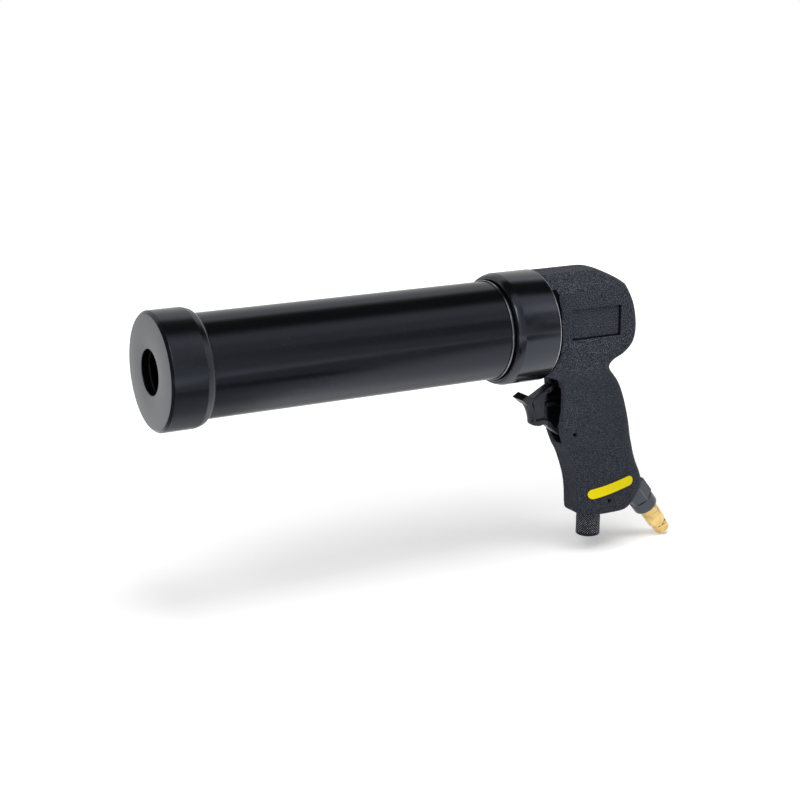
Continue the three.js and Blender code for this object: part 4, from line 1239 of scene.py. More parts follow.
@dataclass(frozen=True)
class Casting:
    """The cast head and grip, with its slot, its recess, its bores and its turned spigot."""

    datum: Datum
    voxel: float = 0.55
    slot_width: float = 13.8
    foot_width: float = 7.0
    neck_width: float = 9.4
    recess: tuple[float, float, float, float] = (15.9, 49.7, -7.5, 10.5)
    recess_depth: float = 1.6
    line_width: float = 0.6
    half_width: float = 19.5
    neck_depth: float = 3.0
    slot_front: float = 18.3
    slot_foot: float = -63.0
    neck: tuple[Point, ...] = (
        (0.4, 23.0),
        (4.6, 23.0),
        (5.9, 20.5),
        (6.3, 17.0),
        (7.9, 10.3),
        (8.7, 3.8),
        (9.1, -6.0),
        (8.4, -16.0),
        (6.0, -22.0),
        (3.0, -26.0),
        (0.4, -27.5),
    )

    def stations(self, steps: int = 4) -> list[Station]:
        """Returns the sections on a smooth curve through the stations."""
        keys = list(Station.__dataclass_fields__)
        last = len(CASTING) - 1
        made: list[Station] = []
        for index in range(last):
            near = [CASTING[min(max(index + k, 0), last)] for k in (-1, 0, 1, 2)]
            around = [Vector([getattr(station, key) for key in keys]) for station in near]
            for step in range(steps):
                made.append(Station(*catmull(around, step / steps)))
        return [*made, CASTING[last]]

    def skin(self) -> Object:
        """Builds the outer skin."""
        bm = bmesh.new()
        rings = [[bm.verts.new(point) for point in station.ring()] for station in self.stations()]
        Shape.skin(bm, rings)
        return Shape.from_mesh("head_and_grip", bm, self.datum.head())

    def slot(self) -> Iterable[Object]:
        """Builds the cutters of the trigger's slot and of its narrower top."""
        place = self.datum.head()
        floor, bottom = GRIP.slot_floor, GRIP.slot_bottom
        wide, narrow = self.slot_width / 2, self.foot_width / 2
        levels = (
            (-38.6, floor, wide, wide + 0.7),
            (-53.0, floor, wide, wide + 0.7),
            (-60.0, floor, 0.3 * wide + 0.7 * narrow, wide + 0.7),
            (self.slot_foot, floor, narrow, wide + 0.6),
            (bottom + 2.4, floor, narrow, wide - 0.4),
            (bottom, floor - 2.5, narrow, narrow + 1.2),
            (bottom - 2.2, floor - 10.5, narrow, narrow),
        )
        bm = bmesh.new()
        rings = [
            [bm.verts.new((x, y, z)) for x, y in ((-2, -near), (rear, -near), (rear, far), (-2, far))]
            for z, rear, near, far in levels
        ]
        Shape.skin(bm, rings)
        yield Shape.from_mesh("slot_cutter", bm, place)
        for side in (-1, 1):
            low, high = sorted((side * (self.half_width + 2), side * (self.half_width - self.neck_depth)))
            yield prism("neck_cutter", list(self.neck), low, high, place)
        turn = quadratic((floor - 2.5, -30.8), (floor, -30.8), (floor, -33.3))
        roof = [(-2, -30.8), (floor - 2.5, -30.8), *turn, (floor, -40.0), (-2, -40.0)]
        yield prism("slot_neck_cutter", roof, -self.neck_width / 2, self.neck_width / 2, place)

    def bores(self) -> Iterable[Object]:
        """Builds the cutters of the crisp recess in the head's near side and of the machined bores."""
        place = self.datum.head()
        x0, x1, z0, z1 = self.recess
        corners = [(x0, z0), (x1, z0), (x1, z1), (x0, z1)]
        low = -self.half_width - 2
        floor_y = self.recess_depth - self.half_width
        yield prism("recess_cutter", corners, low, floor_y, place)
        line = self.line_width
        end = [(x1 - line, z0), (x1, z0), (x1, z1), (x1 - line, z1)]
        sill = [(x0, z0), (x1, z0), (x1, z0 + line), (x0, z0 + line)]
        yield prism("recess_end_cutter", end, low, floor_y + 0.5, place)
        yield prism("recess_sill_cutter", sill, low, floor_y + 0.5, place)

        def bar(name: str, radius: float, start: float, end: float, frame: Matrix) -> Object:
            """Builds one round cutter along the X axis of a frame."""
            return revolve(name, [(start, 0), (start, radius), (end, radius), (end, 0)], frame, 64)

        floor = GRIP.slot_floor
        reach = self.half_width + 1
        yield bar("valve_cutter", 5.12, floor - 2, floor + 25.7, GRIP.valve(place))
        yield bar("spindle_cutter", 6.12, -3, 56.4, GRIP.regulator(place))
        yield bar("pivot_cutter", GRIP.pivot_pin_r + 0.1, -reach, reach, GRIP.across(GRIP.pivot, place))
        across = GRIP.across(GRIP.regulator_pin, place)
        yield bar("pin_cutter", GRIP.regulator_pin_r + 0.1, -reach, reach, across)
        yield bar("inlet_cutter", 9.0, -20.3, 20, GRIP.inlet(place))
        yield bar("inlet_thread_cutter", 6.9, -32.3, 0, GRIP.inlet(place))

    def body(self) -> Object:
        """Builds the casting: a soft skin with the slot and the recess cast in, crisp bores, and painted
        shade in the slot, the recess and the neck.
        """
        piece = Shape.cut(self.skin(), self.slot())
        Shape.soften(piece, self.voxel, 5)
        Shape.cut(piece, self.bores())
        Shape.finish(piece, POWDER, Body.HEAD.value, ["handle_casting"], 50)
        # Painted shade: the slot's inside, the recess's walls and lines and the neck behind the union nut
        # take a near-black copy of the coat.
        Shape.paint(piece, PAINTED_SHADE_COAT, self.datum.head(), self.in_shade)
        return piece

    def in_shade(self, spot: Vector) -> bool:
        """Tells whether a place takes the painted shade: the recess's walls and lines, the inside of the slot
        and the neck behind the union nut.
        """
        return self.at_recess_edge(spot) or self.in_slot(spot) or self.in_neck(spot)

    def at_recess_edge(self, spot: Vector, hair: float = 0.02) -> bool:
        """Tells whether a place is on the recess's walls or in the lines along them."""
        x0, x1, z0, z1 = self.recess
        below = spot.y + self.half_width - self.recess_depth
        inside = x0 - hair < spot.x < x1 + hair and z0 - hair < spot.z < z1 + hair
        return inside and abs(below) > 0.05 and below < 1

    def in_slot(self, spot: Vector) -> bool:
        """Tells whether a place is inside the trigger's slot, whose front leans back at its foot."""
        front = self.slot_front + 0.3 * max(0.0, self.slot_foot - spot.z)
        inside = front < spot.x < GRIP.slot_floor + 1 and -75 < spot.z < -30.5
        return inside and abs(spot.y) < self.slot_width / 2 + 0.8

    def in_neck(self, spot: Vector) -> bool:
        """Tells whether a place is in the shallow neck behind the union nut."""
        edge = 0.0
        for (x0, z0), (x1, z1) in zip(self.neck[1:], self.neck[2:]):
            if z1 <= spot.z < z0:
                edge = x0 + (x1 - x0) * (spot.z - z0) / (z1 - z0)
        return abs(spot.y) > 12 and spot.x < edge + 0.2

    def spigot(self) -> Object:
        """Builds the turned spigot that the union nut screws onto."""
        corners: Profile = [
            (-10.3, 0, 0),
            (-10.3, 15.0, 0.3),
            (-19.3, 15.0, 0.4),
            (-19.3, 29.0, 0.2),
        ]
        corners += thread(-18.4, -4.4, 30.2, 1.75, 0.6)
        corners += [(-3.3, 29.4, 0.3), (-2.3, 28.9, 0.3), (-0.7, 28.9, 0.3), (1.0, 26.9, 0.4), (1.0, 0, 0)]
        piece = revolve("head_spigot", round_corners(corners, 0.12), self.datum.head(), 192)
        centre = (self.datum.cap_x, 0.0, self.datum.axis_z)
        base = (0.012, 0.012, 0.013)
        finish = BlackAnodised("spigot_black", "cast", base, centre=centre, gloss=0.35)
        return Shape.finish(piece, finish, Body.HEAD.value, ["handle_casting"])

    def pins(self) -> None:
        """Builds the two slotted spring pins through the grip."""
        place = self.datum.head()
        pins = (
            ("trigger_pin", GRIP.pivot, GRIP.pivot_pin_r),
            ("regulator_pin", GRIP.regulator_pin, GRIP.regulator_pin_r),
        )
        for name, centre, radius in pins:
            low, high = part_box(name)
            half = (high.y - low.y) / 2 / MM
            inner = radius - 0.6
            corners = [(-half, inner, 0.1), (-half, radius, 0.35), (half, radius, 0.35), (half, inner, 0.1)]
            frame = GRIP.across(centre, place)
            piece = revolve(f"{name}_rolled", round_corners(corners), frame, 48, slit=0.45)
            Shape.finish(piece, SPRING_STEEL, Body.HEAD.value, [name])


@dataclass(frozen=True)
class GripLabel:
    """The bare yellow pill-shaped film on the grip's near side."""

    RIM_MASK = "film_rim"

    datum: Datum
    middle: Point = (50.9, -102.9)
    length: float = 24.6
    turn: float = math.radians(12.7)
    radius: float = 3.5
    rings: int = 8
    arc: int = 20

    def outline(self, radius: float) -> list[Vector]:
        """Returns the points of a pill with round ends of a radius, as (x, z)."""
        points: list[Vector] = []
        for side in (1, -1):
            for index in range(self.arc + 1):
                angle = math.pi / 2 - math.pi * index / self.arc + (math.pi if side < 0 else 0)
                middle = side * self.length / 2
                points.append(Vector((middle + radius * math.cos(angle), radius * math.sin(angle))))
            for index in range(1, 24):
                along = side * self.length * (0.5 - index / 24)
                points.append(Vector((along, -side * radius)))
        spin = Matrix.Rotation(self.turn, 2)
        return [spin @ point + Vector(self.middle) for point in points]

    def build(self, casting: Object) -> Object:
        """Builds the film on the casting's side.

        Args:
            casting: The finished casting that the film lies on.

        Returns:
            The film.
        """
        place = self.datum.head()
        skin = BVHTree.FromObject(casting, bpy.context.evaluated_depsgraph_get())
        bm = bmesh.new()
        mask = bm.verts.layers.float.new(self.RIM_MASK)

        def sheet(radii: Sequence[tuple[float, float]]) -> list[list[BMVert]]:
            """Lays rings of points on the skin, each with a radius and a height over it."""
            made = []
            for radius, height in radii:
                ring = []
                for point in self.outline(radius):
                    start = place @ Vector((point.x, -30, point.y))
                    spot, normal, _, _ = skin.ray_cast(start, Vector((0, 1, 0)))
                    vert = bm.verts.new(spot + normal * height * MM)
                    vert[mask] = radius / self.radius
                    ring.append(vert)
                made.append(ring)
            return made

        inside = [(self.radius * k / self.rings, 0.36) for k in range(self.rings)]
        edge = [(self.radius * 0.985, 0.36), (self.radius, 0.3), (self.radius, 0.04)]
        rings = sheet([*inside, *edge])
        for here, after in zip(rings, rings[1:]):
            for index in range(len(here)):
                turn = (index + 1) % len(here)
                bm.faces.new((here[index], here[turn], after[turn], after[index]))
        bmesh.ops.remove_doubles(bm, verts=bm.verts, dist=1e-6)
        piece = Shape.from_mesh("grip_label_film", bm, Matrix.Identity(4))
        return Shape.finish(piece, FILM, Body.HEAD.value, ["grip_label"])


# ------------------------------------------------------------------ trigger and valve


@dataclass(frozen=True)
class Trigger:
    """The moulded trigger, drawn about its pivot."""

    datum: Datum
    width: float = 7.0
    horn_width: float = 10.0
    eye_width: float = 5.6
    eye_r: float = 4.2
    pocket_depth: float = 1.4
    slit_depth: float = 0.9
    dot: Point = (-16.0, 26.1)
    dot_r: float = 0.62
    voxel: float = 0.26

    def outline(self, inset: float) -> list[Point]:
        """Returns the side outline: arm, rear face, slit, strap, finger face and horn.

        Args:
            inset: How far the finger face stands back.
        """
        rear = GRIP.trigger_rear
        points: list[Point] = [(-29.5, 26.2), (-24.4, 22.7), (-13.4, 28.7), (-10.6, 29.7), (-9.8, 26.7)]
        points += quadratic(points[-1], (rear, 24.5), (rear, 20.7))
        points += [(rear, 10.3), (rear + 0.2, 8.9)]
        points += spline([(rear + 0.2, 8.9), (-11.6, 7.8), (-9.6, 5.4), (-7.4, 3.0), (-3.6, 1.7)])
        points += [(-2.6, -2.9)]
        points += spline([(-2.6, -2.9), (-6.2, -1.2), (-9.5, 1.5), (-13.1, 4.2), (-14.7, 5.9)])
        points += [(-16.6, 6.5)]
        foot = (-22.8 + 0.2 * inset, 6.2 + 0.2 * inset)
        points += quadratic((-16.6, 6.5), (-19.3, 4.7 + 0.2 * inset), foot)
        heel = (-24.8 + 0.8 * inset, 9.7)
        points += quadratic(foot, (-25.2 + 0.6 * inset, 7.1 + 0.3 * inset), heel)
        face = [(-25.9, 13.6), (-27.3, 17.0), (-29.1, 19.7), (-31.1, 21.8)]
        return points + spline([heel, *[(x + inset, z + 0.3 * inset) for x, z in face]])

    def pocket(self) -> list[Point]:
        """Returns the outline of the hollow in each side, which is open to the rear."""
        corners: list[Point] = [(-24.4, 21.3), (-13.0, 27.5), (-13.0, 10.2), (-21.9, 9.1)]
        return [*corners, *quadratic(corners[-1], (-22.3, 15.2), (-25.0, 19.4))]

    def build(self) -> Object:
        """Builds the trigger as one moulding with a round finger face and a crisp pin hole."""
        place = self.datum.head() @ Matrix.Translation((GRIP.pivot[0], 0, GRIP.pivot[1]))
        half, eye = self.width / 2, self.eye_width / 2
        horn: list[Point] = [(-29.5, 26.2), (-25, 23.4), (-27.2, 18.7)]
        horn += [(-28.9, 19.8), (-31.1, 21.8), (-33.6, 23.8)]
        body = prism("trigger_moulding", self.outline(1.5), -half, half, place)
        floor = half - self.pocket_depth
        slit: list[Point] = [(-17.9, 9.5), (-14.0, 9.3), (-14.0, 10.1), (-17.9, 10.2)]
        eye_r = self.eye_r
        strap: list[Point] = [(-13.0, -eye_r), (eye_r, -eye_r), (eye_r, 8.6), (-13.0, 8.6)]

        def pair(name: str, outline: Sequence[Point], inner: float) -> list[Object]:
            """Builds the same cutter at both sides, from a distance outwards."""
            outer = half + 1
            near = prism(f"{name}_near", outline, -outer, -inner, place)
            return [near, prism(f"{name}_far", outline, inner, outer, place)]

        grooves = pair("pocket", self.pocket(), floor) + pair("slit", slit, half - self.slit_depth)
        Shape.cut(body, grooves + pair("strap", strap, eye))
        layers = [(3.0, 0.75), (2.3, 0.25), (1.4, 0.0)]
        Shape.join(body, [
            prism("trigger_horn", horn, -self.horn_width / 2, self.horn_width / 2, place),
            prism("trigger_eye", circle((0, 0), self.eye_r), -eye, eye, place),
            *[self.face(reach, inset, place) for reach, inset in layers],
        ])
        Shape.soften(body, self.voxel, 6)
        middle = Vector(self.dot)
        dot = circle(middle, self.dot_r, 16)
        eye_hole = circle((0, 0), GRIP.pivot_pin_r + 0.12)
        eye_cutter = prism("eye_cutter", eye_hole, -self.width, self.width, place)
        Shape.cut(body, [eye_cutter, *pair("dot", dot, floor - 1.2)])
        Shape.finish(body, PLASTIC, Body.TRIGGER.value, ["trigger"], 50)
        top, end = Vector((-29.2, 26.4)), Vector((-33.6, 23.8))
        up = (top - end).orthogonal().normalized()

        def horn_top(spot: Vector) -> bool:
            """Picks the top face of the horn, which takes painted shade."""
            return spot.x < top.x - 0.4 and abs(up.dot(Vector((spot.x, spot.z)) - end)) < 0.3

        def in_dot(spot: Vector) -> bool:
            """Picks the inside of the small round marks, which takes painted shade."""
            reach = (Vector((spot.x, spot.z)) - middle).length
            return reach < self.dot_r + 0.06 and abs(spot.y) < half - 0.25

        # Painted shade on the horn's top face and inside the round marks.
        Shape.paint(body, PAINTED_SHADE_PLASTIC, place, horn_top)
        Shape.paint(body, PAINTED_SHADE_PLASTIC, place, in_dot)
        return body

    def face(self, reach: float, inset: float, place: Matrix) -> Object:
        """Builds one layer of the round finger face, cut off behind it.

        Args:
            reach: Half the layer's width.
            inset: How far it stands back.
            place: The trigger's frame.
        """
        front = [(x, z) for x, z in self.outline(inset) if x < -21.5 and z < 25]
        layer = [*front, (-26.0, 20.6), (-22.6, 15.2), (-21.5, 9.1)]
        return prism("trigger_face", layer, -reach, reach, place)


@dataclass(frozen=True)
class Valve:
    """The valve behind the trigger: its bush and its stem show in the slot."""

    datum: Datum
    bore_r: float = 5.0
    stem_r: float = 2.0
    bush_end: float = 34.9

    def bush(self) -> Object:
        """Builds the brass bush that guides the stem."""
        rear = GRIP.slot_floor - 0.1
        front = rear - 1.4
        outer, bore = self.bore_r + 1.2, self.stem_r + 0.12
        groove = self.bush_end - 3.4
        corners: Profile = [
            (front, bore, 0.25),
            (front, outer, 0.5),
            (rear, outer, 0.1),
            (rear, self.bore_r, 0.1),
            (self.bush_end, self.bore_r, 0.3),
            (self.bush_end, bore, 0.1),
            (groove + 1.7, bore, 0.05),
            (groove + 1.7, self.stem_r + 1.5, 0.05),
            (groove, self.stem_r + 1.5, 0.05),
            (groove, bore, 0.05),
        ]
        piece = revolve("valve_bush_turned", round_corners(corners), GRIP.valve(self.datum.head()), 96)
        return Shape.finish(piece, BRASS, Body.HEAD.value, ["valve_bush"])

    def stem(self) -> Object:
        """Builds the stem with its domed tip and its poppet."""
        tip = GRIP.pivot[0] + GRIP.trigger_rear + 0.35
        low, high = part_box("valve_stem")
        end = (high.x - self.datum.head_x) / MM
        peg, poppet = end - 1.7, end - 4.1
        poppet_r = (high.z - low.z) / 2 / MM
        dome = [
            (tip + self.stem_r * (1 - math.cos(k * math.pi / 16)), self.stem_r * math.sin(k * math.pi / 16))
            for k in range(9)
        ]
        corners: Profile = [
            *[(x, r, 0.0) for x, r in dome],
            (poppet, self.stem_r, 0.1),
            (poppet, poppet_r, 0.2),
            (peg, poppet_r, 0.2),
            (peg, 2.65, 0.1),
            (end, 2.65, 0.5),
            (end, 0, 0),
        ]
        piece = revolve("valve_stem_turned", round_corners(corners), GRIP.valve(self.datum.head()), 64)
        # The stem takes dark steel: painted shade, as it sits in the slot's shade.
        return Shape.finish(piece, SHADED_DARK_STEEL, Body.STEM.value, ["valve_stem"])

    def build(self) -> None:
        """Builds the pieces that show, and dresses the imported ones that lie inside."""
        self.bush()
        self.stem()
        for name, finish in (
            ("stem_seal", RUBBER),
            ("valve_seat", RING_PLASTIC),
            ("poppet_seal", RUBBER),
            ("valve_spring", STEEL),
        ):
            dress(name, finish)


def dress(node: str, finish: Finish) -> None:
    """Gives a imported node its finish, and keeps its shape."""
    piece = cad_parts[node]
    piece.data.materials.clear()
    piece.data.materials.append(finish.material())
    LOG.info("%s: packed solid in %s", node, finish.title)


# ------------------------------------------------------------------ regulator and inlet


@dataclass(frozen=True)
class Regulator:
    """The knurled knob of the air regulator, in one piece with its spindle."""

    datum: Datum
    spindle_r: float = 6.0
    spindle_length: float = 55.4
    knob_r: float = 7.36
    knob_length: float = 15.7
    diamonds: int = 30
    pitch: float = 1.5
    depth: float = 0.4
    edge: float = 1.7
    rows: int = 118
    segments: int = 352
    seals: tuple[float, float] = (15.9, 38.4)

    def knurl(self, turn: float, along: float, radius: float) -> float:
        """Returns the radius of the diamond knurl at an angle and a distance."""
        if radius < self.knob_r - 0.001 or not -self.knob_length + self.edge < along < -1.0:
            return radius
        row = along / self.pitch
        column = self.diamonds * turn / (2 * math.pi)
        first, second = ((column + sign * row) % 1.0 for sign in (1, -1))
        crest = min(1 - abs(2 * first - 1), 1 - abs(2 * second - 1))
        ends = min(1.0, (along + self.knob_length - self.edge) / 0.5, (-1.0 - along) / 0.4)
        return radius - self.depth * (1 - min(crest * 1.25, 1.0)) * ends

    def build(self) -> Object:
        """Builds knob and spindle, with the grooves for the seals and the pin."""
        pin = GRIP.regulator_pin[1] - GRIP.bottom
        top = -0.3
        corners: Profile = [
            (top - self.knob_length, 0, 0),
            (top - self.knob_length, self.knob_r, self.edge),
        ]
        start, end = top - self.knob_length + 1.8, top - 0.6
        rows = range(self.rows + 1)
        corners += [(start + (end - start) * k / self.rows, self.knob_r, 0.0) for k in rows]
        corners += [
            (top, self.knob_r - 0.5, 0.1),
            (top, self.spindle_r, 0.05),
            (pin - 1.52, self.spindle_r, 0.05),
            (pin - 1.52, self.spindle_r - 2.55, 0.05),
            (pin + 1.52, self.spindle_r - 2.55, 0.05),
            (pin + 1.52, self.spindle_r, 0.05),
        ]
        for height in self.seals:
            for edge in (-0.85, 0.85):
                radii = (self.spindle_r, self.spindle_r - 1.5)
                corners += [(height + edge, r, 0.05) for r in (radii if edge < 0 else radii[::-1])]
        corners += [(self.spindle_length, self.spindle_r, 0.4), (self.spindle_length, 0, 0)]
        place = self.datum.head()
        frame = GRIP.regulator(place)
        profile = round_corners(corners)
        piece = revolve("regulator_knob_knurled", profile, frame, self.segments, self.knurl)
        low = GRIP.bottom + self.spindle_length - 12.5
        flat = [(GRIP.regulator_x - 1, low), (GRIP.regulator_x + 9, low), (GRIP.regulator_x + 9, low + 15)]
        cutter = prism("throttle_cutter", [*flat, (GRIP.regulator_x - 1, low + 15)], -8, 8, place)
        Shape.cut(piece, [cutter])
        self.mark_crests(piece, frame)
        for name in ("regulator_seal_upper", "regulator_seal_lower"):
            dress(name, RUBBER)
        return Shape.finish(piece, KnurledSteel(), Body.REGULATOR.value, ["regulator_knob"], 40)

    def mark_crests(self, piece: Object, frame: Matrix) -> None:
        """Stores on each vertex how near it is to the tip of its diamond."""
        inward = frame.inverted()
        layer = piece.data.attributes.new(KnurledSteel.CREST_MASK, "FLOAT", "POINT")
        for vert, value in zip(piece.data.vertices, layer.data):
            spot = inward @ vert.co
            knurled = -self.knob_length + 1.9 < spot.x < -1.0
            value.value = max(0.0, 1 - (self.knob_r - spot.yz.length) / self.depth) if knurled else 0.0


@dataclass(frozen=True)
class Inlet:
    """The blued steel bushing in the grip's heel, with the brass plug for the air hose."""

    datum: Datum
    bush_r: float = 7.8
    flats: float = 15.4
    corner_r: float = 8.7
    worn_r: float = 8.58
    hex_front: float = -20.0
    hex_end: float = -8.0
    bore_r: float = 2.8
    plug_r: float = 5.8

    def hexagon(self, turn: float, along: float, radius: float) -> float:
        """Returns the radius of the bushing at an angle and a distance, with its six flats."""
        if not self.hex_front <= along <= self.hex_end or radius < 7.5:
            return radius
        within = (turn + math.pi / 6) % (math.pi / 3) - math.pi / 6
        return min(radius, (self.flats / 2 - 0.1) / math.cos(within))

    def bushing(self) -> Object:
        """Builds the bushing, with its thread in the grip, its flats and its round nose."""
        rear = -32.0
        socket_r = self.bore_r + 2.2
        corners: Profile = [(rear, self.bore_r, 0.2), (rear, 5.9, 0.5)]
        corners += thread(-31.2, -21.0, 6.6, 1.3, 0.5)
        corners += [(-20.0, 6.1, 0.1), (-20.0, self.bush_r - 0.2, 0.0), (-19.3, self.corner_r, 0.0)]
        corners += [(-19.0 + k, self.corner_r, 0.0) for k in range(11)]
        corners += [
            (-8.7, self.corner_r, 0.0),
            (self.hex_end, self.bush_r - 0.2, 0.0),
            (self.hex_end + 0.1, self.bush_r, 0.0),
            (0.0, self.bush_r, 1.3),
            (0.0, socket_r, 0.2),
            (-7.1, socket_r, 0.1),
            (-7.1, self.bore_r, 0.1),
        ]
        frame = GRIP.inlet(self.datum.head())
        piece = revolve("inlet_bushing_turned", round_corners(corners), frame, 144, self.hexagon)
        Shape.finish(piece, BLUED, Body.HEAD.value, ["inlet_bushing"])

        def on_corner(spot: Vector) -> bool:
            """Picks the worn corners of the hexagon."""
            return spot.yz.length > self.worn_r and spot.x > self.hex_front

        def at_shoulder(spot: Vector) -> bool:
            """Picks the narrow ring where the hexagon meets the round nose, which takes painted shade."""
            return abs(spot.x - self.hex_end) < 0.45 and spot.yz.length > self.bush_r - 0.2

        Shape.paint(piece, WORN_BLUE, frame, on_corner)
        Shape.paint(piece, SHADED_DARK_STEEL, frame, at_shoulder)
        return piece

    def plug(self) -> Object:
        """Builds the plug, with its shoulder, its locking groove and its rounded tip."""
        thread_r = self.bore_r + 2.1
        corners: Profile = [(-7.0, self.bore_r, 0.1), (-7.0, thread_r, 0.3)]
        corners += thread(-6.2, -0.8, thread_r, 1.0, 0.35)
        corners += [
            (0.1, thread_r - 0.2, 0.05),
            (0.1, self.plug_r, 0.5),
            (4.1, self.plug_r, 0.15),
            (4.3, self.plug_r - 0.12, 0.1),
            (4.9, self.plug_r - 0.12, 0.1),
            (5.1, self.plug_r, 0.15),
            (13.9, self.plug_r, 0.4),
            (14.7, self.plug_r - 1.5, 0.35),
            (16.0, self.plug_r - 1.5, 0.35),
            (16.8, self.plug_r - 0.8, 0.6),
            (22.1, self.plug_r - 0.93, 1.5),
            (22.1, self.bore_r, 0.5),
        ]
        frame = GRIP.inlet(self.datum.head())
        piece = revolve("coupling_plug_turned", round_corners(corners), frame, 128)
        return Shape.finish(piece, BRASS, Body.HEAD.value, ["coupling_plug"])

    def build(self) -> None:
        """Builds the bushing and the plug."""
        self.bushing()
        self.plug()


# ------------------------------------------------------------------ studio


@dataclass(frozen=True)
class Lamp:
    """A soft square lamp that faces the gun's middle. Places and sizes are in metres."""

    name: str
    place: Place
    size: float
    power: float
    target: Place = (0.0, 0.0, 0.09)
    glossy: bool = True

    def build(self) -> Object:
        """Adds the lamp to the scene."""
        light = bpy.data.lights.new(self.name, "AREA")
        light.size = self.size
        light.energy = self.power
        lamp = bpy.data.objects.new(self.name, light)
        lamp.location = self.place
        away = Vector(self.place) - Vector(self.target)
        lamp.rotation_euler = away.to_track_quat("Z", "Y").to_euler()
        lamp.visible_glossy = self.glossy
        lamp.visible_camera = False
        bpy.context.scene.collection.objects.link(lamp)
        return lamp


@dataclass(frozen=True)
class Flag:
    """A soft-edged card that only reflections see. Places and sizes are in metres.

    Attributes:
        name: Its name.
        place: Its middle.
        size: Its size along X and along its own height.
        tilt: Its turn about X in degrees: 0 lies level, 90 stands upright.
        turn: Its turn about Z in degrees.
        density: How much its middle hides.
        soft: How much of each half fades out, along X and along its height.
        glow: The light that its middle adds.
    """

    name: str
    place: Place
    size: tuple[float, float]
    tilt: float
    density: float
    soft: tuple[float, float] = (0.4, 0.6)
    turn: float = 0.0
    glow: float = 0.0

    def build(self) -> Object:
        """Adds the card to the scene."""
        bm = bmesh.new()
        for x, y in ((-1, -1), (1, -1), (1, 1), (-1, 1)):
            bm.verts.new((x * self.size[0] / 2, y * self.size[1] / 2, 0))
        bm.faces.new(bm.verts)
        card = Shape.from_mesh(self.name, bm, Matrix.Identity(4))
        spin = Matrix.Rotation(math.radians(self.turn), 4, "Z")
        lean = Matrix.Rotation(math.radians(self.tilt), 4, "X")
        card.matrix_world = Matrix.Translation(self.place) @ spin @ lean
        material, wiring = blank_material(self.name)
        parts = wiring.add("SeparateXYZ", {0: wiring.add("TexCoord").outputs["Object"]}).outputs
        share = 1.0
        for axis in (0, 1):
            half = self.size[axis] / 2
            away = wiring.maths("ABSOLUTE", parts[axis])
            fade = wiring.remap(away, half * (1 - self.soft[axis]), half, 1.0, 0.0, "SMOOTHSTEP")
            share = wiring.maths("MULTIPLY", fade, share)
        veil = wiring.remap(share, 0.0, 1.0, 1.0, 1.0 - self.density)
        clear = wiring.add("BsdfTransparent", {"Color": veil}).outputs[0]
        light = wiring.maths("MULTIPLY", share, self.glow)
        bright = wiring.add("Emission", {"Color": WHITE, "Strength": light}).outputs[0]
        mixed = wiring.add("AddShader", {0: clear, 1: bright}).outputs[0]
        wiring.add("OutputMaterial", {"Surface": mixed})
        card.data.materials.append(material)
        for ray in ("camera", "diffuse", "transmission", "volume_scatter", "shadow"):
            setattr(card, f"visible_{ray}", False)
        card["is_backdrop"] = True
        return card


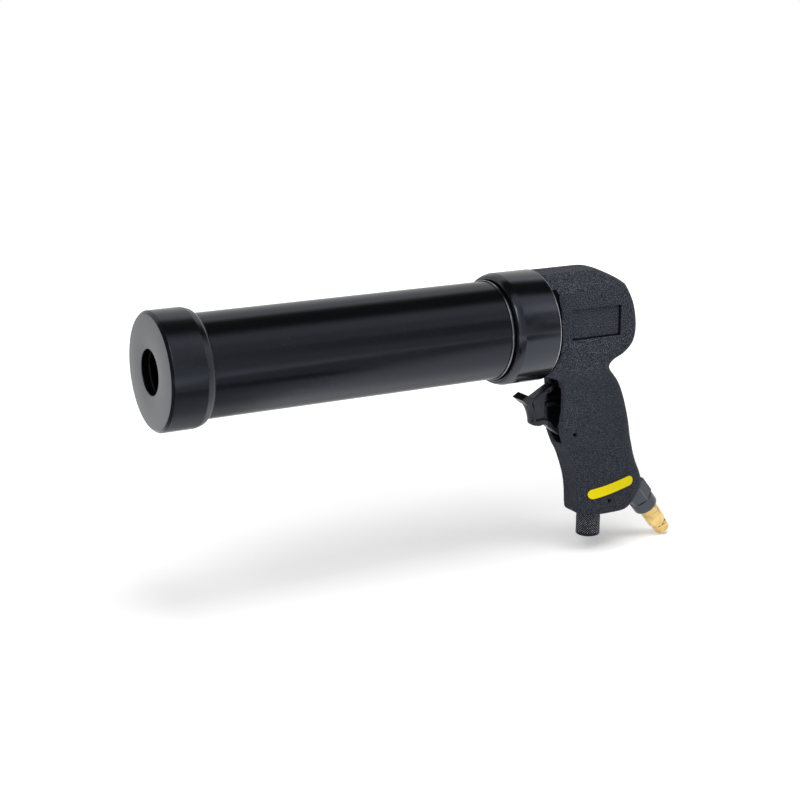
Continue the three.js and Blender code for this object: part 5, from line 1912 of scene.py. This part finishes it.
@dataclass(frozen=True)
class Studio:
    """The pale floor, the white surround, the lamps and the camera.

    Attributes:
        datum: Where the gun lies.
        viewpoint: The camera's place in millimetres from the cap's face, on the barrel's axis.
        azimuth: The camera's turn about Z, in degrees.
        elevation: How far it looks down, in degrees.
        lens: Its focal length, in millimetres on a 36 mm sensor.
        ambient: The surround's strength as a light.
        floor_glow: What the floor near the gun adds for the camera. Farther off it is white.
        floor_shine: What the floor adds in reflections.
        floor_bounce: The share of its light that it gives back to matt surfaces.
        floor_radius: Its radius, in metres.
        floor_drop: How far it lies under the gun's lowest point, in metres.
        lamps: The lamps.
        flags: The cards that shape the reflections.
    """

    datum: Datum
    viewpoint: Place = (-292.1, -795.8, 211.6)
    azimuth: float = -28.874
    elevation: float = 15.112
    lens: float = 75.74
    ambient: float = 0.28
    floor_glow: float = 0.28
    floor_shine: float = 0.62
    floor_bounce: float = 0.5
    floor_radius: float = 6.0
    floor_drop: float = 0.0004
    lamps: tuple[Lamp, ...] = (
        Lamp("key_lamp", (-1.14, -1.0, 1.23), 0.95, 15.0),
        Lamp("fill_lamp", (1.3, -1.1, 0.9), 0.9, 2.0, glossy=False),
        Lamp("top_lamp", (0.0, -0.6, 1.85), 1.0, 18.5, glossy=False),
        Lamp("bounce_lamp", (-0.15, -0.2, 0.003), 0.26, 1.2, target=(-0.15, -0.2, 1.0), glossy=False),
    )
    flags: tuple[Flag, ...] = (
        Flag("overhead_card", (0.4, 0.1, 1.0), (2.4, 0.95), 0.0, 0.97, (0.3, 0.6)),
        Flag("front_card", (1.0, -1.9, 1.0), (1.0, 1.1), 90.0, 0.55, (0.4, 0.6)),
        Flag("corner_card", (1.55, -1.92, 0.33), (0.7, 0.7), 90.0, 0.5, (0.5, 0.6)),
        Flag("wide_card", (0.9, -1.95, 1.4), (2.6, 3.2), 90.0, 0.28, (0.3, 0.3)),
        Flag("back_card", (0.4, 2.4, 1.6), (6.0, 3.6), 90.0, 0.2, (0.3, 0.3)),
        Flag("low_card", (0.325, -0.705, 0.0006), (1.7, 0.38), 0.0, 0.7, (0.12, 0.6), turn=-48.0),
        Flag("near_card", (-0.05, -0.22, 0.0008), (0.2, 0.13), 0.0, 0.92, (0.5, 0.7)),
        Flag("side_card", (0.55, -0.75, 0.0014), (0.5, 0.7), 0.0, 0.55, (0.4, 0.4)),
        Flag("left_card", (-1.05, -0.15, 0.75), (2.3, 1.9), 90.0, 0.93, (0.25, 0.2), turn=90.0),
        Flag("left_floor_card", (-0.56, -0.2, 0.0016), (0.86, 0.7), 0.0, 0.9, (0.3, 0.4)),
        Flag("band_card", (0.95, -0.9, 1.02), (0.72, 0.95), 0.0, 0.0, (0.4, 0.9), glow=0.8),
        # Painted shadow: these two cards stand for the gun's shadow on the floor, as reflections see it.
        Flag("under_gun_shadow_card", (0.05, 0.14, 0.001), (0.5, 0.3), 0.0, 0.45, (0.5, 0.6)),
        Flag("under_cap_shadow_card", (-0.12, 0.03, 0.0012), (0.14, 0.28), 0.0, 0.4, (0.5, 0.5)),
    )

    @staticmethod
    def seen(wiring: Wiring) -> NodeSocket:
        """Returns 1 for camera, glossy and transmission rays, and 0 for the rest."""
        rays = wiring.add("LightPath").outputs
        mirrored = wiring.maths("MAXIMUM", rays["Is Glossy Ray"], rays["Is Transmission Ray"])
        return wiring.maths("MAXIMUM", rays["Is Camera Ray"], mirrored)

    def world(self) -> None:
        """Makes the surround: white where it is seen, softer where it lights."""
        world = bpy.data.worlds.new("surround")
        world.use_nodes = True
        world.node_tree.nodes.clear()
        wiring = Wiring(world.node_tree)
        strength = wiring.remap(self.seen(wiring), 0.0, 1.0, self.ambient, 1.0)
        glow = wiring.add("Background", {"Color": WHITE, "Strength": strength})
        wiring.add("OutputWorld", {"Surface": glow.outputs[0]})
        bpy.context.scene.world = world

    def floor(self) -> None:
        """Builds the plain pale floor."""
        bm = bmesh.new()
        for x, y in circle((0.0, 0.0), self.floor_radius, 64):
            bm.verts.new((x, y, 0))
        bm.faces.new(bm.verts)
        piece = Shape.from_mesh("studio_floor", bm, Matrix.Translation((0, 0, -self.floor_drop)))
        material, wiring = blank_material("pale_floor")
        place = wiring.add("TexCoord").outputs["Object"]
        plain = wiring.mix(wiring.noise(place, 3.0), rgba((0.9, 0.9, 0.9)), rgba((0.93, 0.93, 0.93)))
        bounce = wiring.remap(self.seen(wiring), 0.0, 1.0, self.floor_bounce, 1.0)
        rays = wiring.add("LightPath").outputs
        away = wiring.add("VectorMath", {0: place}, operation="LENGTH").outputs["Value"]
        near = wiring.remap(away, 0.15, 1.2, self.floor_glow, 1.0)
        direct = wiring.maths("MULTIPLY", rays["Is Camera Ray"], near)
        mirrored = wiring.maths("MAXIMUM", rays["Is Glossy Ray"], rays["Is Transmission Ray"])
        shader = wiring.add("BsdfPrincipled", {
            "Base Color": wiring.scaled(plain, bounce),
            "Roughness": 0.9,
            "Specular IOR Level": 0.1,
            "Emission Color": WHITE,
            "Emission Strength": wiring.maths(
                "ADD", direct, wiring.maths("MULTIPLY", mirrored, self.floor_shine)
            ),
        })
        wiring.add("OutputMaterial", {"Surface": shader.outputs[0]})
        piece.data.materials.append(material)
        piece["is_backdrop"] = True

    def camera(self) -> None:
        """Sets the camera at its viewpoint."""
        turn, tilt = math.radians(self.azimuth), math.radians(self.elevation)
        right = Vector((math.cos(turn), math.sin(turn), 0))
        ahead = Vector((-math.sin(turn) * math.cos(tilt), math.cos(turn) * math.cos(tilt), -math.sin(tilt)))
        frame = Matrix((right, right.cross(ahead), -ahead)).transposed().to_4x4()
        frame.translation = self.datum.barrel() @ Vector(self.viewpoint)
        data = bpy.data.cameras.new("camera")
        data.lens = self.lens
        data.sensor_width = 36.0
        camera = bpy.data.objects.new("camera", data)
        camera.matrix_world = frame
        bpy.context.scene.collection.objects.link(camera)
        bpy.context.scene.camera = camera

    def build(self) -> None:
        """Builds the whole studio."""
        self.world()
        self.floor()
        self.camera()
        for item in (*self.lamps, *self.flags):
            item.build()
        bpy.context.scene.view_settings.view_transform = "Standard"


# ------------------------------------------------------------------ the gun


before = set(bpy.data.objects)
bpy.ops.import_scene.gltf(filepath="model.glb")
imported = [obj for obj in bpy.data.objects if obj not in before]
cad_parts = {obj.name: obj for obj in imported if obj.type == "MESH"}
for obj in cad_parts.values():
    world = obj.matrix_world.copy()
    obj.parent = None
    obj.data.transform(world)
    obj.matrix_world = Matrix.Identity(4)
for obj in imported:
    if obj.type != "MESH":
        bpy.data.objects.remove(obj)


def main() -> None:
    """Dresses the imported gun."""
    logging.basicConfig(level=logging.INFO, format="%(name)s: %(message)s")
    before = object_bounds()
    datum = Datum.read()
    Barrel(datum).build()
    dress("slip_ring", RING_PLASTIC)
    casting = Casting(datum)
    head = casting.body()
    casting.spigot()
    casting.pins()
    GripLabel(datum).build(head)
    Trigger(datum).build()
    Valve(datum).build()
    Regulator(datum).build()
    Inlet(datum).build()
    Studio(datum).build()
    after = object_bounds()
    boxes = {"cad": before, "visual": after}
    {name: [list(corner) for corner in box] for name, box in boxes.items()}


if __name__ == "__main__":
    main()
